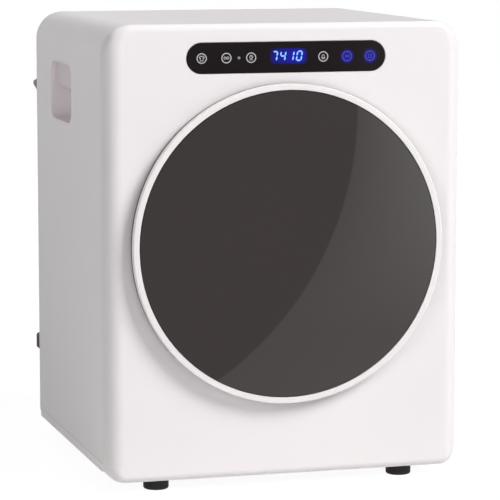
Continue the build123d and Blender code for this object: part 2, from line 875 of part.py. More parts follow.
# Drum shell: narrowed mouth, flare, two stiffening beads and a plain rear edge
flare_front = drum_front + drum_neck
flare_rear = flare_front + drum_flare
with BuildPart() as drum_shell:
    with BuildSketch(drum_section):
        with BuildLine():
            profile = [(drum_mouth_radius, drum_front), (drum_mouth_radius, flare_front)]
            profile.append((drum_radius, flare_rear))
            for bead_place in bead_places:
                bead_y = drum_front + bead_place
                profile.append((drum_radius, bead_y - bead_width / 2))
                profile.append((drum_radius + bead_height, bead_y - bead_crest / 2))
                profile.append((drum_radius + bead_height, bead_y + bead_crest / 2))
                profile.append((drum_radius, bead_y + bead_width / 2))
            profile.append((drum_radius, drum_rear))
            inner_profile = [(radius - sheet, y) for radius, y in reversed(profile)]
            Polyline(profile + inner_profile, close=True)
        make_face()
    revolve(axis=drum_axis)
finish(drum_shell, "drum_shell")

# Drum back: dished disc with a turned rim and a ring of air slots behind the filter
drum_back_front = drum_rear - drum_back_setback
with BuildPart() as drum_back:
    with BuildSketch(drum_section):
        with BuildLine():
            dish = [
                (hub_boss_radius, drum_back_front),
                (drum_inner, drum_back_front),
                (drum_inner, drum_back_front - drum_back_rim),
                (drum_inner - sheet, drum_back_front - drum_back_rim),
                (drum_inner - sheet, drum_back_front - sheet),
                (hub_boss_radius, drum_back_front - sheet),
            ]
            Polyline(dish, close=True)
        make_face()
    revolve(axis=drum_axis)
    with BuildSketch(on_drum_axis(drum_rear)):
        with PolarLocations(drum_slot_radius, drum_slot_count):
            SlotOverall(drum_slot_length, drum_slot_width)
    extrude(amount=2 * hub_overhang, mode=Mode.SUBTRACT)
finish(drum_back, "drum_back")

# Lifters: moulded ridges along the drum's wall, narrow at the crest
lifter_front = flare_rear + lifter_front_margin
lifter_length = drum_back_front - lifter_rear_margin - lifter_front
for lifter_index in range(lifter_count):
    lifter_angle = lifter_index * 360 / lifter_count
    lifter_plane = on_drum_axis(lifter_front, lifter_angle)
    with BuildPart() as lifter:
        with BuildSketch(lifter_plane) as lifter_section:
            crest = drum_inner - lifter_height
            with BuildLine():
                Polyline(
                    (-lifter_base / 2, drum_radius),
                    (-lifter_base / 2, drum_inner - lifter_round),
                    (-lifter_crest / 2, crest),
                    (lifter_crest / 2, crest),
                    (lifter_base / 2, drum_inner - lifter_round),
                    (lifter_base / 2, drum_radius),
                    close=True,
                )
            make_face()
            fillet(lifter_section.vertices().group_by(Axis.Y)[0], lifter_round)
        extrude(amount=-lifter_length)
        with BuildSketch(lifter_plane):
            Circle(drum_inner)
        extrude(amount=-lifter_length, mode=Mode.INTERSECT)
    finish(lifter, f"drum_lifter_{lifter_index + 1}")

# Drum hub: boss, flange and ribs, bored to turn on the axle
with BuildPart() as drum_hub:
    hub_flange_rear = drum_back_front - sheet
    with BuildSketch(on_drum_axis(hub_front)):
        Circle(hub_boss_radius)
    extrude(amount=hub_front - drum_rear - hub_overhang)
    with BuildSketch(on_drum_axis(hub_flange_rear)):
        Circle(hub_flange_radius)
    extrude(amount=hub_flange_thickness)
    with BuildSketch(on_drum_axis(hub_flange_rear)):
        with PolarLocations((hub_boss_radius + hub_flange_radius) / 2 - hub_rib_overlap, hub_rib_count):
            Rectangle(hub_flange_radius - hub_boss_radius, hub_rib_width)
    extrude(amount=hub_rib_height)
    with BuildSketch(on_drum_axis(hub_front)):
        Circle(axle_radius + shaft_play)
    extrude(amount=hub_front - drum_rear - hub_overhang, mode=Mode.SUBTRACT)
finish(drum_hub, "drum_hub")

# Lint filter: slotted moulded cover with a finger grip, and the mesh screen inside it
filter_rear = drum_back_front - sheet - running_gap
filter_front = filter_rear - filter_depth
with BuildPart() as filter_cover:
    with BuildSketch(on_drum_axis(filter_rear)):
        Circle(filter_radius)
    extrude(amount=filter_depth)
    fillet(filter_cover.faces().sort_by(Axis.Y)[0].edges(), filter_wall)
    with BuildSketch(on_drum_axis(filter_rear)):
        Circle(filter_radius - filter_wall)
    extrude(amount=filter_depth - filter_face, mode=Mode.SUBTRACT)
    with BuildSketch(on_drum_axis(filter_front)):
        with PolarLocations(filter_slot_radius, filter_slot_count):
            SlotOverall(filter_slot_length, filter_slot_width)
    extrude(amount=-filter_face, mode=Mode.SUBTRACT)
    with BuildSketch(on_drum_axis(filter_front)):
        RectangleRounded(filter_grip_length, filter_grip_width, filter_grip_round)
    extrude(amount=filter_grip_height)
finish(filter_cover, "filter_cover")

filter_sleeve = hub_boss_radius + filter_sleeve_play
with BuildPart() as filter_mesh:
    with BuildSketch(on_drum_axis(filter_front + filter_face + filter_mesh_setback)):
        Circle(filter_radius - filter_wall)
        Circle(filter_sleeve, mode=Mode.SUBTRACT)
    extrude(amount=-filter_mesh_thickness)
    with BuildSketch(on_drum_axis(filter_front + filter_face)):
        Circle(filter_sleeve + filter_mesh_thickness)
        Circle(filter_sleeve, mode=Mode.SUBTRACT)
    extrude(amount=-filter_mesh_setback - filter_mesh_thickness)
finish(filter_mesh, "filter_mesh")

# Rear bulkhead: carries the axle, with the shroud round the drum and the fan's eye
with BuildPart() as rear_bulkhead:
    with BuildSketch(facing(rear_bulkhead_front)):
        add(bulkhead)
    extrude(amount=-bulkhead_sheet)
    with BuildSketch(facing(rear_bulkhead_front)):
        add(bulkhead_flanges)
    extrude(amount=-bulkhead_flange)
    with BuildSketch(on_drum_axis(rear_bulkhead_front)):
        Circle(shroud_radius)
        Circle(shroud_radius - shroud_wall, mode=Mode.SUBTRACT)
    extrude(amount=shroud_length)
    with BuildSketch(on_drum_axis(rear_bulkhead_front)):
        Circle(fan_eye_radius)
    extrude(amount=-bulkhead_sheet, mode=Mode.SUBTRACT)
    with BuildSketch(facing(rear_bulkhead_front)):
        with Locations((motor_x, 0)):
            cutout = motor_radius + motor_cutout_play
            Rectangle(2 * cutout, motor_z + cutout, align=(Align.CENTER, Align.MIN))
        with Locations((vent_hole_inset - inner_x, bulkhead_foot_top + vent_hole_inset)):
            Circle(vent_hole_radius)
    extrude(amount=-bulkhead_flange, mode=Mode.SUBTRACT)
finish(rear_bulkhead, "rear_bulkhead")

with BuildPart() as rear_felt:
    with BuildSketch(on_drum_axis(rear_bulkhead_front)):
        Circle(drum_inner - rear_felt_margin)
        Circle(drum_inner - rear_felt_margin - rear_felt_width, mode=Mode.SUBTRACT)
    extrude(amount=rear_bulkhead_front - drum_back_front - running_gap)
finish(rear_felt, "rear_felt")

# Axle spider over the fan's eye, and the fixed axle that drum and fan turn on
spider_front = drum_rear + hub_overhang + 2 * running_gap
spider_rear = rear_bulkhead_rear + spider_thickness
with BuildPart() as axle_spider:
    with BuildSketch(on_drum_axis(rear_bulkhead_rear)):
        Circle(fan_eye_radius + spider_overlap)
        Circle(fan_eye_radius - spider_lip, mode=Mode.SUBTRACT)
        with PolarLocations(fan_eye_radius / 2, 3, start_angle=90):
            Rectangle(fan_eye_radius, spider_arm_width)
    extrude(amount=-spider_thickness)
    with BuildSketch(on_drum_axis(spider_front)):
        Circle(spider_boss_radius)
    extrude(amount=spider_front - spider_rear)
    with BuildSketch(on_drum_axis(spider_front)):
        Circle(axle_radius)
    extrude(amount=spider_front - spider_rear, mode=Mode.SUBTRACT)
finish(axle_spider, "axle_spider")

with BuildPart() as drum_axle:
    with BuildSketch(on_drum_axis(axle_front)):
        Circle(axle_radius)
    extrude(amount=axle_front - axle_rear)
    chamfer(drum_axle.edges().filter_by(GeomType.CIRCLE), 1.0)
finish(drum_axle, "drum_axle")

# Fan wheel: twelve curved blades between a back plate and an eye ring, on a long sleeve
fan_rear = fan_front + fan_width
with BuildSketch() as blade_section:
    with BuildLine():
        root = Vector(fan_blade_root, 0)
        bow = Vector((fan_blade_root + fan_radius) / 2, 0).rotate(Axis.Z, fan_blade_bow)
        tip = Vector(fan_radius - fan_blade_margin, 0).rotate(Axis.Z, fan_blade_sweep)
        blade_line = ThreePointArc(root, bow, tip)
        blade_back = blade_line.moved(Location((0, fan_blade_thickness)))
        add(blade_back)
        Line(blade_line @ 1, blade_back @ 1)
        Line(blade_back @ 0, blade_line @ 0)
    make_face()
with BuildPart() as fan_wheel:
    with BuildSketch(on_drum_axis(fan_rear)):
        Circle(fan_radius)
    extrude(amount=fan_plate)
    with BuildSketch(on_drum_axis(fan_front)):
        Circle(fan_radius)
        Circle(fan_eye, mode=Mode.SUBTRACT)
    extrude(amount=-fan_plate)
    with BuildSketch(on_drum_axis(fan_front)):
        with PolarLocations(0, fan_blade_count):
            add(blade_section.sketch)
    extrude(amount=-fan_width)
    with BuildSketch(on_drum_axis(fan_front + fan_sleeve_inset)):
        Circle(fan_sleeve_radius)
    extrude(amount=fan_front + fan_sleeve_inset - fan_belt_y - fan_belt_width)
    with BuildSketch(on_drum_axis(fan_front)):
        Circle(axle_radius + shaft_play)
    extrude(amount=fan_front - rear_y, mode=Mode.SUBTRACT)
finish(fan_wheel, "fan_wheel")


def pulley_section(bore, radius, width):
    """Half section of a flat-belt pulley with two rims, about its own axis."""
    with BuildSketch() as section:
        with Locations((bore, 0)):
            Rectangle(radius - bore, width, align=(Align.MIN, Align.CENTER))
        with Locations((bore, -width / 2), (bore, width / 2)):
            Rectangle(radius + pulley_rim - bore, pulley_rim, align=(Align.MIN, Align.CENTER))
    return section.sketch


fan_pulley_width = fan_belt_width + 2 * pulley_rim
with BuildPart() as fan_pulley:
    with BuildSketch(drum_section):
        with Locations((0, fan_belt_y)):
            add(pulley_section(fan_sleeve_radius, fan_pulley_radius, fan_pulley_width))
    revolve(axis=drum_axis)
finish(fan_pulley, "fan_pulley")

# Fan housing: a scroll of three growing quarter turns that runs down into the exhaust duct
duct_floor = spigot_z - drum_axis_z
with BuildSketch() as scroll_outline:
    half_step = scroll_step / 2
    with BuildLine():
        quarter_one = CenterArc((half_step, half_step), scroll_start_radius, 270, 90)
        CenterArc((-half_step, half_step), scroll_start_radius + scroll_step, 0, 90)
        quarter_three = CenterArc((-half_step, -half_step), scroll_start_radius + 2 * scroll_step, 90, 90)
        Line(quarter_three @ 1, (duct_left, duct_floor))
        ThreePointArc(
            (duct_left, duct_floor),
            (duct_x, duct_floor - duct_half),
            (duct_right, duct_floor),
        )
        Line((duct_right, duct_floor), (duct_right, -scroll_start_radius - scroll_step))
        Line((duct_right, -scroll_start_radius - scroll_step), quarter_one @ 0)
    make_face()
scroll_front = rear_bulkhead_rear
scroll_rear = scroll_front + scroll_depth
with BuildPart() as fan_housing:
    with BuildSketch(on_drum_axis(scroll_front)):
        add(scroll_outline.sketch)
    extrude(amount=-scroll_depth)
    with BuildSketch(on_drum_axis(scroll_front)):
        add(scroll_outline.sketch)
        offset(amount=-scroll_wall, mode=Mode.REPLACE)
    extrude(amount=-scroll_depth + scroll_wall, mode=Mode.SUBTRACT)
    with BuildSketch(on_drum_axis(scroll_front)):
        Circle(fan_sleeve_radius + scroll_sleeve_play)
        with Locations((duct_x, duct_floor)):
            Circle(spigot_radius)
    extrude(amount=-scroll_depth, mode=Mode.SUBTRACT)
finish(fan_housing, "fan_housing")

# Exhaust spigot: tube for the hose in a round well, with a flange on the rear panel
with BuildPart() as exhaust_spigot:
    spigot_section = Plane.XY.offset(spigot_z)
    spigot_axis = Axis((duct_x, 0, spigot_z), (0, 1, 0))
    tube_inner = spigot_radius - spigot_wall
    spigot_front = scroll_rear - scroll_wall - spigot_reach
    with BuildSketch(spigot_section):
        with Locations((duct_x, 0)):
            with BuildLine():
                Polyline(
                    (duct_x + tube_inner, spigot_front),
                    (duct_x + tube_inner, rear_y + spigot_stand_out),
                    (duct_x + spigot_radius, rear_y + spigot_stand_out),
                    (duct_x + spigot_radius, scroll_rear + well_wall),
                    (duct_x + well_radius - well_wall, scroll_rear + well_wall),
                    (duct_x + well_radius - well_wall, rear_y + well_wall),
                    (duct_x + well_radius + well_flange, rear_y + well_wall),
                    (duct_x + well_radius + well_flange, rear_y),
                    (duct_x + well_radius, rear_y),
                    (duct_x + well_radius, scroll_rear),
                    (duct_x + spigot_radius, scroll_rear),
                    (duct_x + spigot_radius, spigot_front),
                    close=True,
                )
            make_face()
    revolve(axis=spigot_axis)
    with BuildSketch(facing(rear_y + well_wall)):
        with Locations(*spigot_screw_places):
            Circle(screw_shank_radius + screw_play)
    extrude(amount=well_wall, mode=Mode.SUBTRACT)
finish(exhaust_spigot, "exhaust_spigot")

# Rear panel: inset sheet with two louvre fields, the well's opening and the cord gland's hole
rear_outline = cabinet_outline(rear_inset)
with BuildPart() as rear_panel:
    with BuildSketch(facing(rear_sheet_y)):
        add(rear_outline)
    extrude(amount=-sheet)
    with BuildSketch(facing(rear_sheet_y)):
        for side in sides.values():
            with Locations((side * (inner_x - louvre_side_room), cabinet_top - louvre_drop)):
                with GridLocations(0, louvre_pitch, 1, louvre_count):
                    SlotOverall(louvre_length, louvre_width)
        with Locations((duct_x, spigot_z)):
            Circle(well_radius + well_play)
        with Locations((gland_x, gland_z)):
            Circle(gland_neck_radius)
        with Locations(*rear_screw_places, *spigot_screw_places, *hook_screw_places):
            Circle(screw_shank_radius + screw_play)
    extrude(amount=-sheet, mode=Mode.SUBTRACT)
finish(rear_panel, "rear_panel")

with BuildPart() as cord_gland:
    with BuildSketch(Plane.XY.offset(gland_z)):
        with Locations((gland_x, 0)):
            with BuildLine():
                Polyline(
                    (gland_x + gland_bore_radius, rear_sheet_y - gland_head),
                    (gland_x + gland_bore_radius, rear_y + gland_head),
                    (gland_x + gland_head_radius - gland_bevel, rear_y + gland_head),
                    (gland_x + gland_head_radius, rear_y),
                    (gland_x + gland_neck_radius, rear_y),
                    (gland_x + gland_neck_radius, rear_sheet_y - gland_head),
                    close=True,
                )
            make_face()
    revolve(axis=Axis((gland_x, 0, gland_z), (0, 1, 0)))
finish(cord_gland, "cord_gland")

# Carry handles: tapered pockets behind the wrap's openings, with a web for the fingers
cup_length = handle_length - 2 * handle_play
cup_height = handle_height - 2 * handle_play
for side_name, side in sides.items():
    mouth = side_facing(side, cabinet_width / 2)
    with BuildPart() as handle_cup:
        with BuildSketch(mouth):
            with Locations((-side * handle_y, handle_z)):
                RectangleRounded(cup_length, cup_height, handle_corner - handle_play)
        extrude(amount=handle_depth, taper=handle_taper)
        with BuildSketch(side_facing(side, inner_x)):
            with Locations((-side * handle_y, handle_z)):
                RectangleRounded(
                    handle_length + 2 * handle_flange,
                    handle_height + 2 * handle_flange,
                    handle_corner + handle_flange,
                )
        extrude(amount=handle_wall)
        with BuildSketch(mouth):
            with Locations((-side * handle_y, handle_z)):
                RectangleRounded(
                    cup_length - 2 * handle_wall,
                    cup_height - 2 * handle_wall,
                    handle_corner - handle_play - handle_wall,
                )
        extrude(amount=handle_depth - handle_wall, taper=handle_taper, mode=Mode.SUBTRACT)
        with BuildSketch(side_facing(side, cabinet_width / 2 - grip_web_setback)):
            with Locations((-side * handle_y, handle_z + (cup_height - grip_web_height) / 2 - handle_wall)):
                Rectangle(cup_length - grip_web_margin, grip_web_height)
        extrude(amount=grip_web_thickness)
    finish(handle_cup, f"{side_name}_handle_cup")

# Wall hooks on the rear corners: screwed plate with a pointed tongue bent backwards
with BuildPart() as wall_hooks:
    with BuildSketch(facing(rear_y + hook_sheet)):
        for side in sides.values():
            with Locations((side * hook_x, hook_z)):
                RectangleRounded(hook_plate_width, hook_plate_height, hook_plate_corner)
    extrude(amount=hook_sheet)
    for side in sides.values():
        with BuildSketch(side_facing(side, cabinet_width / 2 - hook_side_margin)):
            with BuildLine():
                Polyline(
                    (-side * rear_y, hook_z - hook_tongue_half),
                    (-side * (rear_y + hook_sheet), hook_z - hook_tongue_half),
                    (-side * (rear_y + hook_stand_out), hook_z - hook_tip_low),
                    (-side * (rear_y + hook_stand_out), hook_z + hook_tip_high),
                    (-side * (rear_y + hook_sheet + hook_shoulder), hook_z + hook_shoulder_rise),
                    (-side * (rear_y + hook_sheet), hook_z + hook_tongue_half),
                    (-side * rear_y, hook_z + hook_tongue_half),
                    close=True,
                )
            make_face()
        extrude(amount=hook_sheet)
    with BuildSketch(facing(rear_y + hook_sheet)):
        with Locations(*hook_screw_places):
            Circle(screw_shank_radius + screw_play)
    extrude(amount=hook_sheet, mode=Mode.SUBTRACT)
finish(wall_hooks, "wall_hooks")

with BuildPart() as wall_buffers:
    with BuildSketch(facing(rear_y)):
        for side in sides.values():
            with Locations((side * (cabinet_width / 2 - buffer_side_margin - buffer_size / 2), buffer_z)):
                RectangleRounded(buffer_size, buffer_size, buffer_round)
    extrude(amount=-buffer_stand_out)
    fillet(wall_buffers.edges().group_by(Axis.Y)[-1], buffer_face_round)
finish(wall_buffers, "wall_buffers")

# Motor: housing with end bells and cooling ribs, cradle, clamps and shaft with two pulleys
motor_rear = motor_front + motor_length
shaft_bore = motor_shaft_radius + shaft_play
with BuildPart() as motor_housing:
    with BuildSketch(Plane.XY.offset(motor_z)):
        with BuildLine():
            Polyline(
                (motor_x + shaft_bore, motor_front - motor_nose),
                (motor_x + motor_nose_radius, motor_front - motor_nose),
                (motor_x + motor_nose_radius, motor_front),
                (motor_x + motor_bell_radius, motor_front),
                (motor_x + motor_radius, motor_front + motor_bell / 2),
                (motor_x + motor_radius, motor_rear - motor_bell / 2),
                (motor_x + motor_bell_radius, motor_rear),
                (motor_x + motor_nose_radius, motor_rear),
                (motor_x + motor_nose_radius, motor_rear + motor_nose),
                (motor_x + shaft_bore, motor_rear + motor_nose),
                close=True,
            )
        make_face()
    revolve(axis=motor_axis)
    for bell_y, inward in ((motor_front, -1), (motor_rear, 1)):
        with BuildSketch(facing(bell_y)):
            with Locations((motor_x, motor_z)):
                with PolarLocations(motor_vent_radius, motor_vent_count):
                    SlotOverall(motor_vent_length, motor_vent_width)
        extrude(amount=inward * motor_bell / 2, mode=Mode.SUBTRACT)
finish(motor_housing, "motor_housing")

cradle_places = (motor_front + motor_bell, motor_rear - motor_bell + cradle_thickness)
with BuildPart() as motor_bracket:
    with BuildSketch(Plane.XY.offset(tray_floor)):
        with Locations((motor_x, motor_front + motor_length / 2)):
            RectangleRounded(motor_plate_width, motor_plate_length, motor_plate_corner)
    extrude(amount=motor_plate_thickness)
    for cradle_y in cradle_places:
        with BuildSketch(facing(cradle_y)):
            with Locations((motor_x, tray_floor)):
                Rectangle(cradle_width, motor_z - tray_floor, align=(Align.CENTER, Align.MIN))
            with Locations((motor_x, motor_z)):
                Circle(motor_radius, mode=Mode.SUBTRACT)
        extrude(amount=cradle_thickness)
finish(motor_bracket, "motor_bracket")

with BuildPart() as motor_clamps:
    for cradle_y in cradle_places:
        with BuildSketch(facing(cradle_y)):
            with Locations((motor_x, motor_z)):
                Circle(motor_radius + clamp_thickness)
                Circle(motor_radius, mode=Mode.SUBTRACT)
                below = (Align.CENTER, Align.MAX)
                Rectangle(cradle_width, 2 * motor_radius, mode=Mode.SUBTRACT, align=below)
        extrude(amount=cradle_thickness)
finish(motor_clamps, "motor_clamps")

with BuildPart() as motor_shaft:
    with BuildSketch(facing(motor_shaft_front)):
        with Locations((motor_x, motor_z)):
            Circle(motor_shaft_radius)
    extrude(amount=motor_shaft_front - axle_rear)
finish(motor_shaft, "motor_shaft")

with BuildPart() as drum_drive_pulley:
    with BuildSketch(Plane.XY.offset(motor_z)):
        with Locations((motor_x, drum_belt_y)):
            add(pulley_section(0, drum_drive_radius, drum_drive_width))
    revolve(axis=motor_axis)
    with BuildSketch(facing(drum_belt_y - drum_drive_width)):
        with Locations((motor_x, motor_z)):
            Circle(motor_shaft_radius)
    extrude(amount=-2 * drum_drive_width, mode=Mode.SUBTRACT)
finish(drum_drive_pulley, "drum_drive_pulley")

with BuildPart() as fan_drive_pulley:
    with BuildSketch(Plane.XY.offset(motor_z)):
        with Locations((motor_x, fan_belt_y)):
            add(pulley_section(0, fan_drive_radius, fan_pulley_width))
    revolve(axis=motor_axis)
    with BuildSketch(facing(fan_belt_y - fan_pulley_width)):
        with Locations((motor_x, motor_z)):
            Circle(motor_shaft_radius)
    extrude(amount=-2 * fan_pulley_width, mode=Mode.SUBTRACT)
finish(fan_drive_pulley, "fan_drive_pulley")


def belt_outline(wheel_radius, drive_radius, thickness):
    """Closed belt over a wheel on the drum's axis and a pulley on the motor's axis."""
    with BuildSketch() as loop:
        Circle(wheel_radius + thickness)
        with Locations((motor_x, motor_z - drum_axis_z)):
            Circle(drive_radius + thickness)
        make_hull()
    return loop.sketch


belts = {
    "drum_belt": (drum_belt_y, drum_belt_width, drum_radius, drum_drive_radius),
    "fan_belt": (fan_belt_y, fan_belt_width, fan_pulley_radius, fan_drive_radius),
}
for belt_name, (belt_y, belt_width, wheel_radius, drive_radius) in belts.items():
    with BuildPart() as belt:
        with BuildSketch(on_drum_axis(belt_y - belt_width / 2)):
            add(belt_outline(wheel_radius, drive_radius, running_gap + belt_thickness))
            add(belt_outline(wheel_radius, drive_radius, running_gap), mode=Mode.SUBTRACT)
        extrude(amount=-belt_width)
    finish(belt, belt_name)

with BuildPart() as capacitor:
    with BuildSketch(facing(motor_front)):
        with Locations((capacitor_x, capacitor_z)):
            Circle(capacitor_radius)
    extrude(amount=-capacitor_length)
    fillet(capacitor.edges().group_by(Axis.Y)[0], capacitor_round)
    with BuildSketch(facing(motor_front + capacitor_clip_place)):
        with Locations((capacitor_x, tray_floor)):
            Rectangle(capacitor_clip_width, capacitor_clip_height, align=(Align.CENTER, Align.MIN))
    extrude(amount=-capacitor_clip_height)
finish(capacitor, "capacitor")

with BuildPart() as power_box:
    with BuildSketch(Plane.XY.offset(tray_floor)):
        with Locations((power_box_x, power_box_y)):
            RectangleRounded(power_box_width, power_box_length, power_box_corner)
    extrude(amount=power_box_height)
    fillet(power_box.edges().group_by(Axis.Z)[-1], power_box_round)
    with BuildSketch(Plane.XY.offset(tray_floor)):
        with Locations((power_box_x, power_box_y)):
            with GridLocations(0, power_box_length + power_box_ear_length, 1, 2):
                Rectangle(power_box_ear_width, power_box_ear_length)
    extrude(amount=power_box_ear_thickness)
finish(power_box, "power_box")

# Heater: sheet box behind the grille, with a finned core inside
with BuildPart() as heater_box:
    with BuildSketch(facing(front_bulkhead_front)):
        with Locations((0, heater_z)):
            Rectangle(heater_width, heater_height)
    extrude(amount=front_bulkhead_front - heater_front)
    with BuildSketch(facing(front_bulkhead_front)):
        with Locations((0, heater_z)):
            Rectangle(heater_width - 2 * heater_sheet, heater_height - 2 * heater_sheet)
    extrude(amount=front_bulkhead_front - heater_front - heater_sheet, mode=Mode.SUBTRACT)
    with BuildSketch(Plane.XY.offset(heater_bottom)):
        with Locations((0, (heater_front + front_bulkhead_front) / 2)):
            Rectangle(heater_inlet_length, heater_inlet_width)
    extrude(amount=heater_sheet, mode=Mode.SUBTRACT)
finish(heater_box, "heater_box")

with BuildPart() as heater_core:
    core_y = heater_front + heater_sheet
    with BuildSketch(facing(core_y)):
        with Locations((0, heater_z)):
            Rectangle(heater_core_width, heater_bar)
            with Locations((0, heater_core_height / 2), (0, -heater_core_height / 2)):
                Rectangle(heater_core_width, heater_bar)
            fin_pitch = (heater_core_width - heater_bar) / (heater_fin_count - 1)
            with GridLocations(fin_pitch, 0, heater_fin_count, 1):
                Rectangle(heater_fin_thickness, heater_core_height)
    extrude(amount=-heater_core_depth)
finish(heater_core, "heater_core")

with BuildPart() as thermostats:
    with BuildSketch(Plane.XY.offset(heater_bottom)):
        with Locations((heater_width / 2 - thermostat_inset, heater_front + thermostat_setback)):
            Circle(thermostat_radius)
    extrude(amount=-thermostat_height)
    with BuildSketch(facing(scroll_rear)):
        with Locations((duct_x, spigot_z + well_radius + duct_sensor_gap)):
            Circle(duct_sensor_radius)
    extrude(amount=-duct_sensor_height)
finish(thermostats, "thermostats")

# Door ring: round white bezel with a rim, a ledge for the glass and the hinge's knuckles
ring_rear = front_y - door_gap
ring_front = front_y - door_stand_out
frame_rear = ring_rear - inner_frame_setback
door_boss_rear = frame_rear - inner_frame_wall
door_screw_turn = 180 / door_screw_count
ring_inner = door_radius - door_wall
glass_radius = door_radius - rim_width - glass_play
hinge_place = (hinge_x, hinge_y)
with BuildPart() as door_ring:
    with BuildSketch(drum_section) as ring_section:
        with BuildLine():
            Polyline(
                (ring_inner, ring_rear),
                (door_radius, ring_rear),
                (door_radius, ring_front),
                (door_radius - rim_width, ring_front),
                (door_radius - rim_width, ledge_y),
                (door_radius - rim_width - ledge_width, ledge_y),
                (door_radius - rim_width - ledge_width, ledge_y + ledge_thickness),
                (ring_inner, ledge_y + ledge_thickness),
                close=True,
            )
        make_face()
        fillet(ring_section.vertices().group_by(Axis.X)[-1].sort_by(Axis.Y)[0], door_edge_round)
        fillet(ring_section.vertices().group_by(Axis.X)[-1].sort_by(Axis.Y)[-1], door_rear_round)
        fillet(ring_section.vertices().group_by(Axis.Y)[0].sort_by(Axis.X)[0], rim_lip_round)
    revolve(axis=drum_axis)
    knuckle_span = hinge_eye_height + 2 * hinge_notch_play + 2 * hinge_knuckle_height
    with BuildSketch(Plane.XY.offset(drum_axis_z - knuckle_span / 2)):
        with Locations((hinge_x + hinge_eye_radius, ledge_y + ledge_thickness / 2)):
            knuckle_width = 2 * hinge_eye_radius - hinge_knuckle_inset
            knuckle_depth = ring_rear - hinge_knuckle_setback - ledge_y - ledge_thickness / 2
            Rectangle(knuckle_width, knuckle_depth, align=(Align.MAX, Align.MIN))
    extrude(amount=knuckle_span)
    with BuildSketch(on_drum_axis(ledge_y + ledge_thickness / 2)):
        with PolarLocations(door_screw_ring, door_screw_count, door_screw_turn):
            Rectangle(2 * door_boss_radius, 2 * door_boss_radius)
            with Locations((door_boss_radius, 0)):
                Rectangle(2 * door_boss_radius, 2 * door_boss_radius)
    extrude(amount=ledge_y + ledge_thickness / 2 - door_boss_rear)
    with BuildSketch(on_drum_axis(door_boss_rear)):
        with PolarLocations(door_screw_ring, door_screw_count, door_screw_turn):
            Circle(door_screw_radius)
    extrude(amount=door_screw_length, mode=Mode.SUBTRACT)
    with BuildSketch(Plane.XY.offset(drum_axis_z - hinge_eye_height / 2 - hinge_notch_play)):
        with Locations(hinge_place):
            Circle(hinge_eye_radius + hinge_swing_play)
        with Locations((hinge_x + hinge_arm_gap, ledge_y)):
            Rectangle(hinge_arm_reach + hinge_arm_room, door_stand_out, align=(Align.MIN, Align.MIN))
        with Locations((hinge_x - hinge_neck_room, ledge_y + ledge_thickness + hinge_neck_gap)):
            Rectangle(hinge_arm_reach, door_stand_out, align=(Align.MIN, Align.MIN))
    extrude(amount=hinge_eye_height + 2 * hinge_notch_play, mode=Mode.SUBTRACT)
    with BuildSketch(Plane.XY.offset(drum_axis_z - knuckle_span / 2)):
        with Locations(hinge_place):
            Circle(hinge_pin_radius)
    extrude(amount=knuckle_span, mode=Mode.SUBTRACT)
    with BuildSketch(Plane.YZ.offset(door_radius - grip_reach)):
        with Locations((ring_rear, drum_axis_z)):
            Rectangle(grip_depth, grip_height, align=(Align.MAX, Align.CENTER))
    extrude(amount=2 * grip_reach, mode=Mode.SUBTRACT)
finish(door_ring, "door_ring")

with BuildPart() as door_glass:
    with BuildSketch(on_drum_axis(ledge_y)):
        Circle(glass_radius)
    extrude(amount=glass_thickness)
    chamfer(door_glass.faces().sort_by(Axis.Y)[0].edges(), glass_edge)
finish(door_glass, "door_glass")

# Door inner frame: rim on the ledge, flange and the plug that fills the loading mouth
frame_front = ledge_y + ledge_thickness
plug_rear = front_y + plug_depth
with BuildPart() as door_inner_frame:
    frame_radius = ring_inner - glass_play
    with BuildSketch(drum_section):
        with BuildLine():
            Polyline(
                (frame_radius, frame_front),
                (frame_radius, frame_rear),
                (plug_radius, frame_rear),
                (plug_end_radius, plug_rear - plug_end_chamfer),
                (plug_end_radius - plug_end_chamfer, plug_rear),
                (0, plug_rear),
                (0, plug_rear - inner_frame_wall),
                (plug_end_radius - plug_end_chamfer - inner_frame_wall / 2, plug_rear - inner_frame_wall),
                (plug_end_radius - inner_frame_wall, plug_rear - plug_end_chamfer - inner_frame_wall / 2),
                (plug_radius - inner_frame_wall, frame_rear - inner_frame_wall),
                (frame_radius - inner_frame_wall, frame_rear - inner_frame_wall),
                (frame_radius - inner_frame_wall, frame_front),
                close=True,
            )
        make_face()
    revolve(axis=drum_axis)
    with BuildSketch(Plane.XY.offset(drum_axis_z - knuckle_span / 2 - hinge_notch_play)):
        with Locations((hinge_x + hinge_eye_radius + glass_play, frame_front)):
            Rectangle(door_radius, door_stand_out, align=(Align.MAX, Align.MIN))
    extrude(amount=knuckle_span + 2 * hinge_notch_play, mode=Mode.SUBTRACT)
    with BuildSketch(Plane.XY.offset(drum_axis_z - hinge_eye_height / 2 - hinge_notch_play)):
        with Locations((hinge_x + hinge_arm_reach + hinge_neck_room, frame_front)):
            Rectangle(door_radius, door_stand_out, align=(Align.MAX, Align.MIN))
    extrude(amount=hinge_eye_height + 2 * hinge_notch_play, mode=Mode.SUBTRACT)
    with BuildSketch(Plane.YZ.offset(door_radius - grip_reach - inner_frame_wall)):
        with Locations((ring_rear, drum_axis_z)):
            frame_cut_depth = grip_depth + grip_frame_margin
            frame_cut_height = grip_height + 2 * grip_frame_margin
            Rectangle(frame_cut_depth, frame_cut_height, align=(Align.MAX, Align.CENTER))
    extrude(amount=2 * grip_reach, mode=Mode.SUBTRACT)
    with BuildSketch(on_drum_axis(frame_rear)):
        with PolarLocations(door_screw_ring, door_screw_count, door_screw_turn):
            Circle(door_screw_radius + screw_play)
    extrude(amount=inner_frame_wall, mode=Mode.SUBTRACT)
finish(door_inner_frame, "door_inner_frame")

